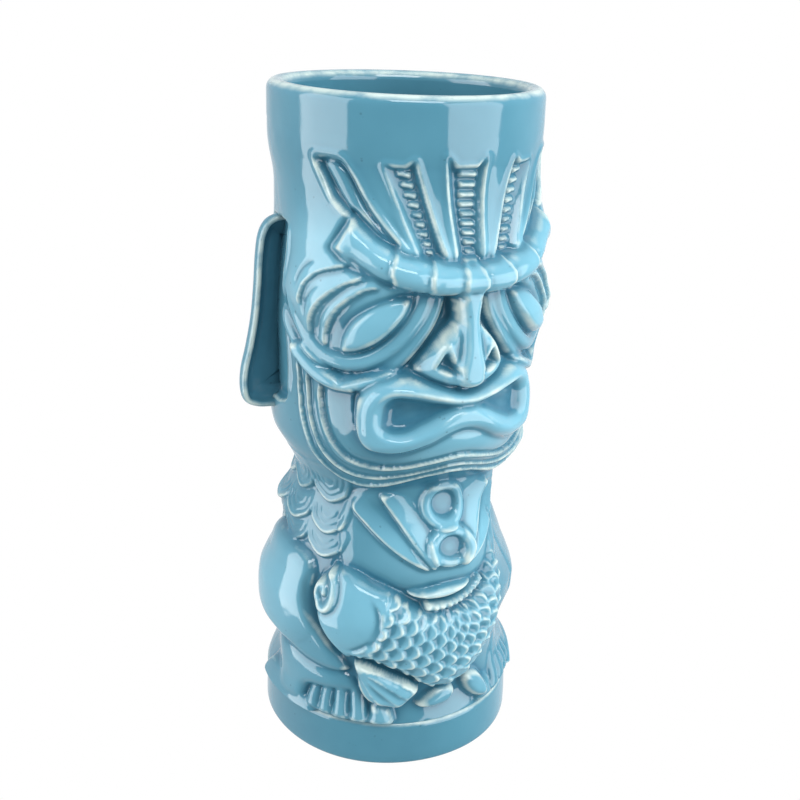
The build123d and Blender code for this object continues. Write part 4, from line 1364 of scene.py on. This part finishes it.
def build_glaze(name, warm):
    material = bpy.data.materials.new(name)
    material.use_nodes = True
    node = node_maker(material.node_tree)

    def maths(operation, a, b, clamp=False):
        return node("Math", {0: a, 1: b}, operation=operation, use_clamp=clamp).outputs[0]

    def times(a, b):
        return maths("MULTIPLY", a, b, clamp=True)

    def mix(factor, a, b):
        return node("Mix", {"Factor": factor, 6: a, 7: b}, data_type="RGBA").outputs[2]

    def noise(scale, detail=3.0, roughness=0.55):
        return node("TexNoise", {"Scale": scale, "Detail": detail, "Roughness": roughness,
                                 "Vector": where}).outputs["Fac"]

    def ramp(value, low, high):
        return node("MapRange", {"From Min": low, "From Max": high, "Value": value},
                    clamp=True).outputs["Result"]

    def painted(attribute):
        return node("Attribute", attribute_name=attribute).outputs["Fac"]

    where = node("TexCoord").outputs["Object"]
    pool = painted("pool")
    cloud = noise(42.0)
    streak = noise(190.0, 4.0)
    patchy, streaky = ramp(cloud, 0.3, 0.7), ramp(streak, 0.3, 0.7)
    body = mix(patchy, (0.052, 0.166, 0.228), (0.066, 0.196, 0.262))
    # The deep colour fills hollows: partly glaze pooled there, partly painted shade.
    deep_pool_shade = mix(streaky, (0.026, 0.112, 0.172), (0.036, 0.136, 0.204))
    # The thin colour lightens raised forms: partly thin glaze, partly painted light.
    thin = mix(patchy, (0.128, 0.315, 0.405), (0.152, 0.352, 0.442))
    pooled = mix(times(pool, 0.85), mix(times(pool, -0.9), body, thin), deep_pool_shade)
    # The cream is glaze breaking on edges, and on the ear's front rim also a painted highlight.
    cream_break_and_highlight = ramp(times(painted("ridge"), ramp(streak, 0.15, 0.6)), 0.12, 0.85)
    glaze_and_painted_light = mix(maths("MULTIPLY", cream_break_and_highlight, 0.9), pooled, warm)
    fleck = node("TexVoronoi", {"Scale": 520.0, "Vector": where}, feature="F1")
    away = ramp(fleck.outputs["Distance"], 0.10, 0.22)
    spot = times(maths("SUBTRACT", 1.0, away), ramp(noise(300.0, 2.0), 0.60, 0.66))
    uneven = maths("ADD", noise(95.0, 2.0), maths("MULTIPLY", noise(700.0, 2.0), 0.12))
    dents = node("Bump", {"Strength": 0.12, "Distance": 0.0004, "Height": uneven})
    surface = node("BsdfPrincipled", {
        "IOR": 1.5,
        "Base Color": mix(maths("MULTIPLY", spot, 0.35), glaze_and_painted_light, (0.020, 0.045, 0.060)),
        "Roughness": maths("ADD", maths("MULTIPLY", cloud, 0.05), 0.055),
        "Normal": dents.outputs["Normal"]})
    if name == "wall_glaze":
        grit = ramp(noise(900.0, 5.0, 0.7), 0.3, 0.7)
        clay = node("BsdfPrincipled", {
            "Roughness": 0.85,
            "Base Color": mix(grit, (0.62, 0.55, 0.46), (0.74, 0.69, 0.61))})
        edge = maths("MULTIPLY", maths("SUBTRACT", streak, 0.5), 0.5)
        bare = ramp(maths("ADD", painted("bare"), edge), 0.45, 0.55)
        surface = node("MixShader", {0: bare, 1: surface.outputs[0], 2: clay.outputs[0]})
    node("OutputMaterial", {"Surface": surface.outputs[0]})
    return material


CREAM = (0.42, 0.50, 0.47)
wall_glaze = build_glaze("wall_glaze", CREAM)
relief_glaze = build_glaze("relief_glaze", CREAM)
for name, thing in made_pieces.items():
    on_cup = name in ("cup_shell", "plinth")
    thing.data.materials.append(wall_glaze if on_cup else relief_glaze)
    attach(thing, "root")
    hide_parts(name)

# ---- Floor, light and camera ----
FLOOR_SIZE, FLOOR_LEVEL = 4.0, -0.0002
floor_mesh = bpy.data.meshes.new("floor")
floor_mesh.from_pydata([(x * FLOOR_SIZE, y * FLOOR_SIZE, FLOOR_LEVEL)
                        for x, y in ((-1, -1), (1, -1), (1, 1), (-1, 1))], [], [(0, 1, 2, 3)])
floor = bpy.data.objects.new("floor", floor_mesh)
bpy.context.collection.objects.link(floor)
floor_material = bpy.data.materials.new("white_floor")
floor_material.use_nodes = True
node = node_maker(floor_material.node_tree)
node("OutputMaterial", {"Surface": node("Emission", {"Strength": 1.0}).outputs[0]})
floor_mesh.materials.append(floor_material)
floor.visible_glossy = False

world = bpy.data.worlds.new("studio")
bpy.context.scene.world = world
world.use_nodes = True
node = node_maker(world.node_tree)
toward = node("SeparateXYZ", {0: node("TexCoord").outputs["Generated"]}).outputs["Y"]
behind = node("MapRange", {"From Min": -0.55, "From Max": 0.35, "To Min": 0.16, "To Max": 0.85,
                           "Value": toward}).outputs[0]
seen = node("Background", {"Strength": 1.0, "Color": (1, 1, 1)})
dim = node("Background", {"Strength": 0.46, "Color": (0.86, 0.93, 1.0)})
# What the glaze reflects is darkest in front of the mug.
room = node("Background", {"Strength": behind, "Color": (0.92, 0.96, 1.0)})
ray = node("LightPath").outputs
unseen = node("MixShader", {0: ray["Is Glossy Ray"], 1: dim.outputs[0], 2: room.outputs[0]})
sky = node("MixShader", {0: ray["Is Camera Ray"], 1: unseen.outputs[0], 2: seen.outputs[0]})
node("OutputWorld", {"Surface": sky.outputs[0]})


def softbox(name, azimuth, elevation, distance, size, radiance):
    """A rectangular light turned to the mug. azimuth is degrees from the face's direction."""
    lamp = bpy.data.lights.new(name, "AREA")
    lamp.shape = "RECTANGLE"
    lamp.size, lamp.size_y = size
    lamp.energy = radiance * math.pi * size[0] * size[1]
    a, e = math.radians(azimuth), math.radians(elevation)
    middle = Vector((0, 0, 0.09))
    away = Vector((math.sin(a) * math.cos(e), -math.cos(a) * math.cos(e), math.sin(e)))
    thing = bpy.data.objects.new(name, lamp)
    thing.location = middle + away * distance
    thing.rotation_euler = away.to_track_quat("Z", "Y").to_euler()
    thing.visible_camera = False
    bpy.context.collection.objects.link(thing)
    return thing


softbox("light_left", -95, 5, 1.0, (0.86, 1.5), 4.6)
softbox("light_right", 33, 5, 1.0, (0.95, 1.5), 4.2)
softbox("light_top", 0, 90, 1.2, (1.0, 1.0), 1.2)
softbox("glint", -14, 52, 1.0, (0.60, 0.26), 9.0)
softbox("fill_right", 78, 14, 1.1, (0.8, 1.3), 5.0).visible_glossy = False

camera = bpy.data.objects.new("camera", bpy.data.cameras.new("camera"))
bpy.context.collection.objects.link(camera)
bpy.context.scene.camera = camera
forward = Vector((0.3977, 0.8428, -0.3627)).normalized()
right = forward.cross(Vector((0, 0, 1))).normalized()
up = right.cross(forward)
ROLL = math.radians(2.14)
image_right = right * math.cos(ROLL) + up * math.sin(ROLL)
image_up = up * math.cos(ROLL) - right * math.sin(ROLL)
facing = Matrix((image_right, image_up, -forward)).transposed().to_4x4()
camera.matrix_world = Matrix.Translation((-0.12085, -0.25916, 0.20612)) @ facing
camera.data.lens = 49.93
camera.data.sensor_width = 36.0
camera.data.clip_start = 0.01
bpy.context.scene.view_settings.view_transform = "Standard"
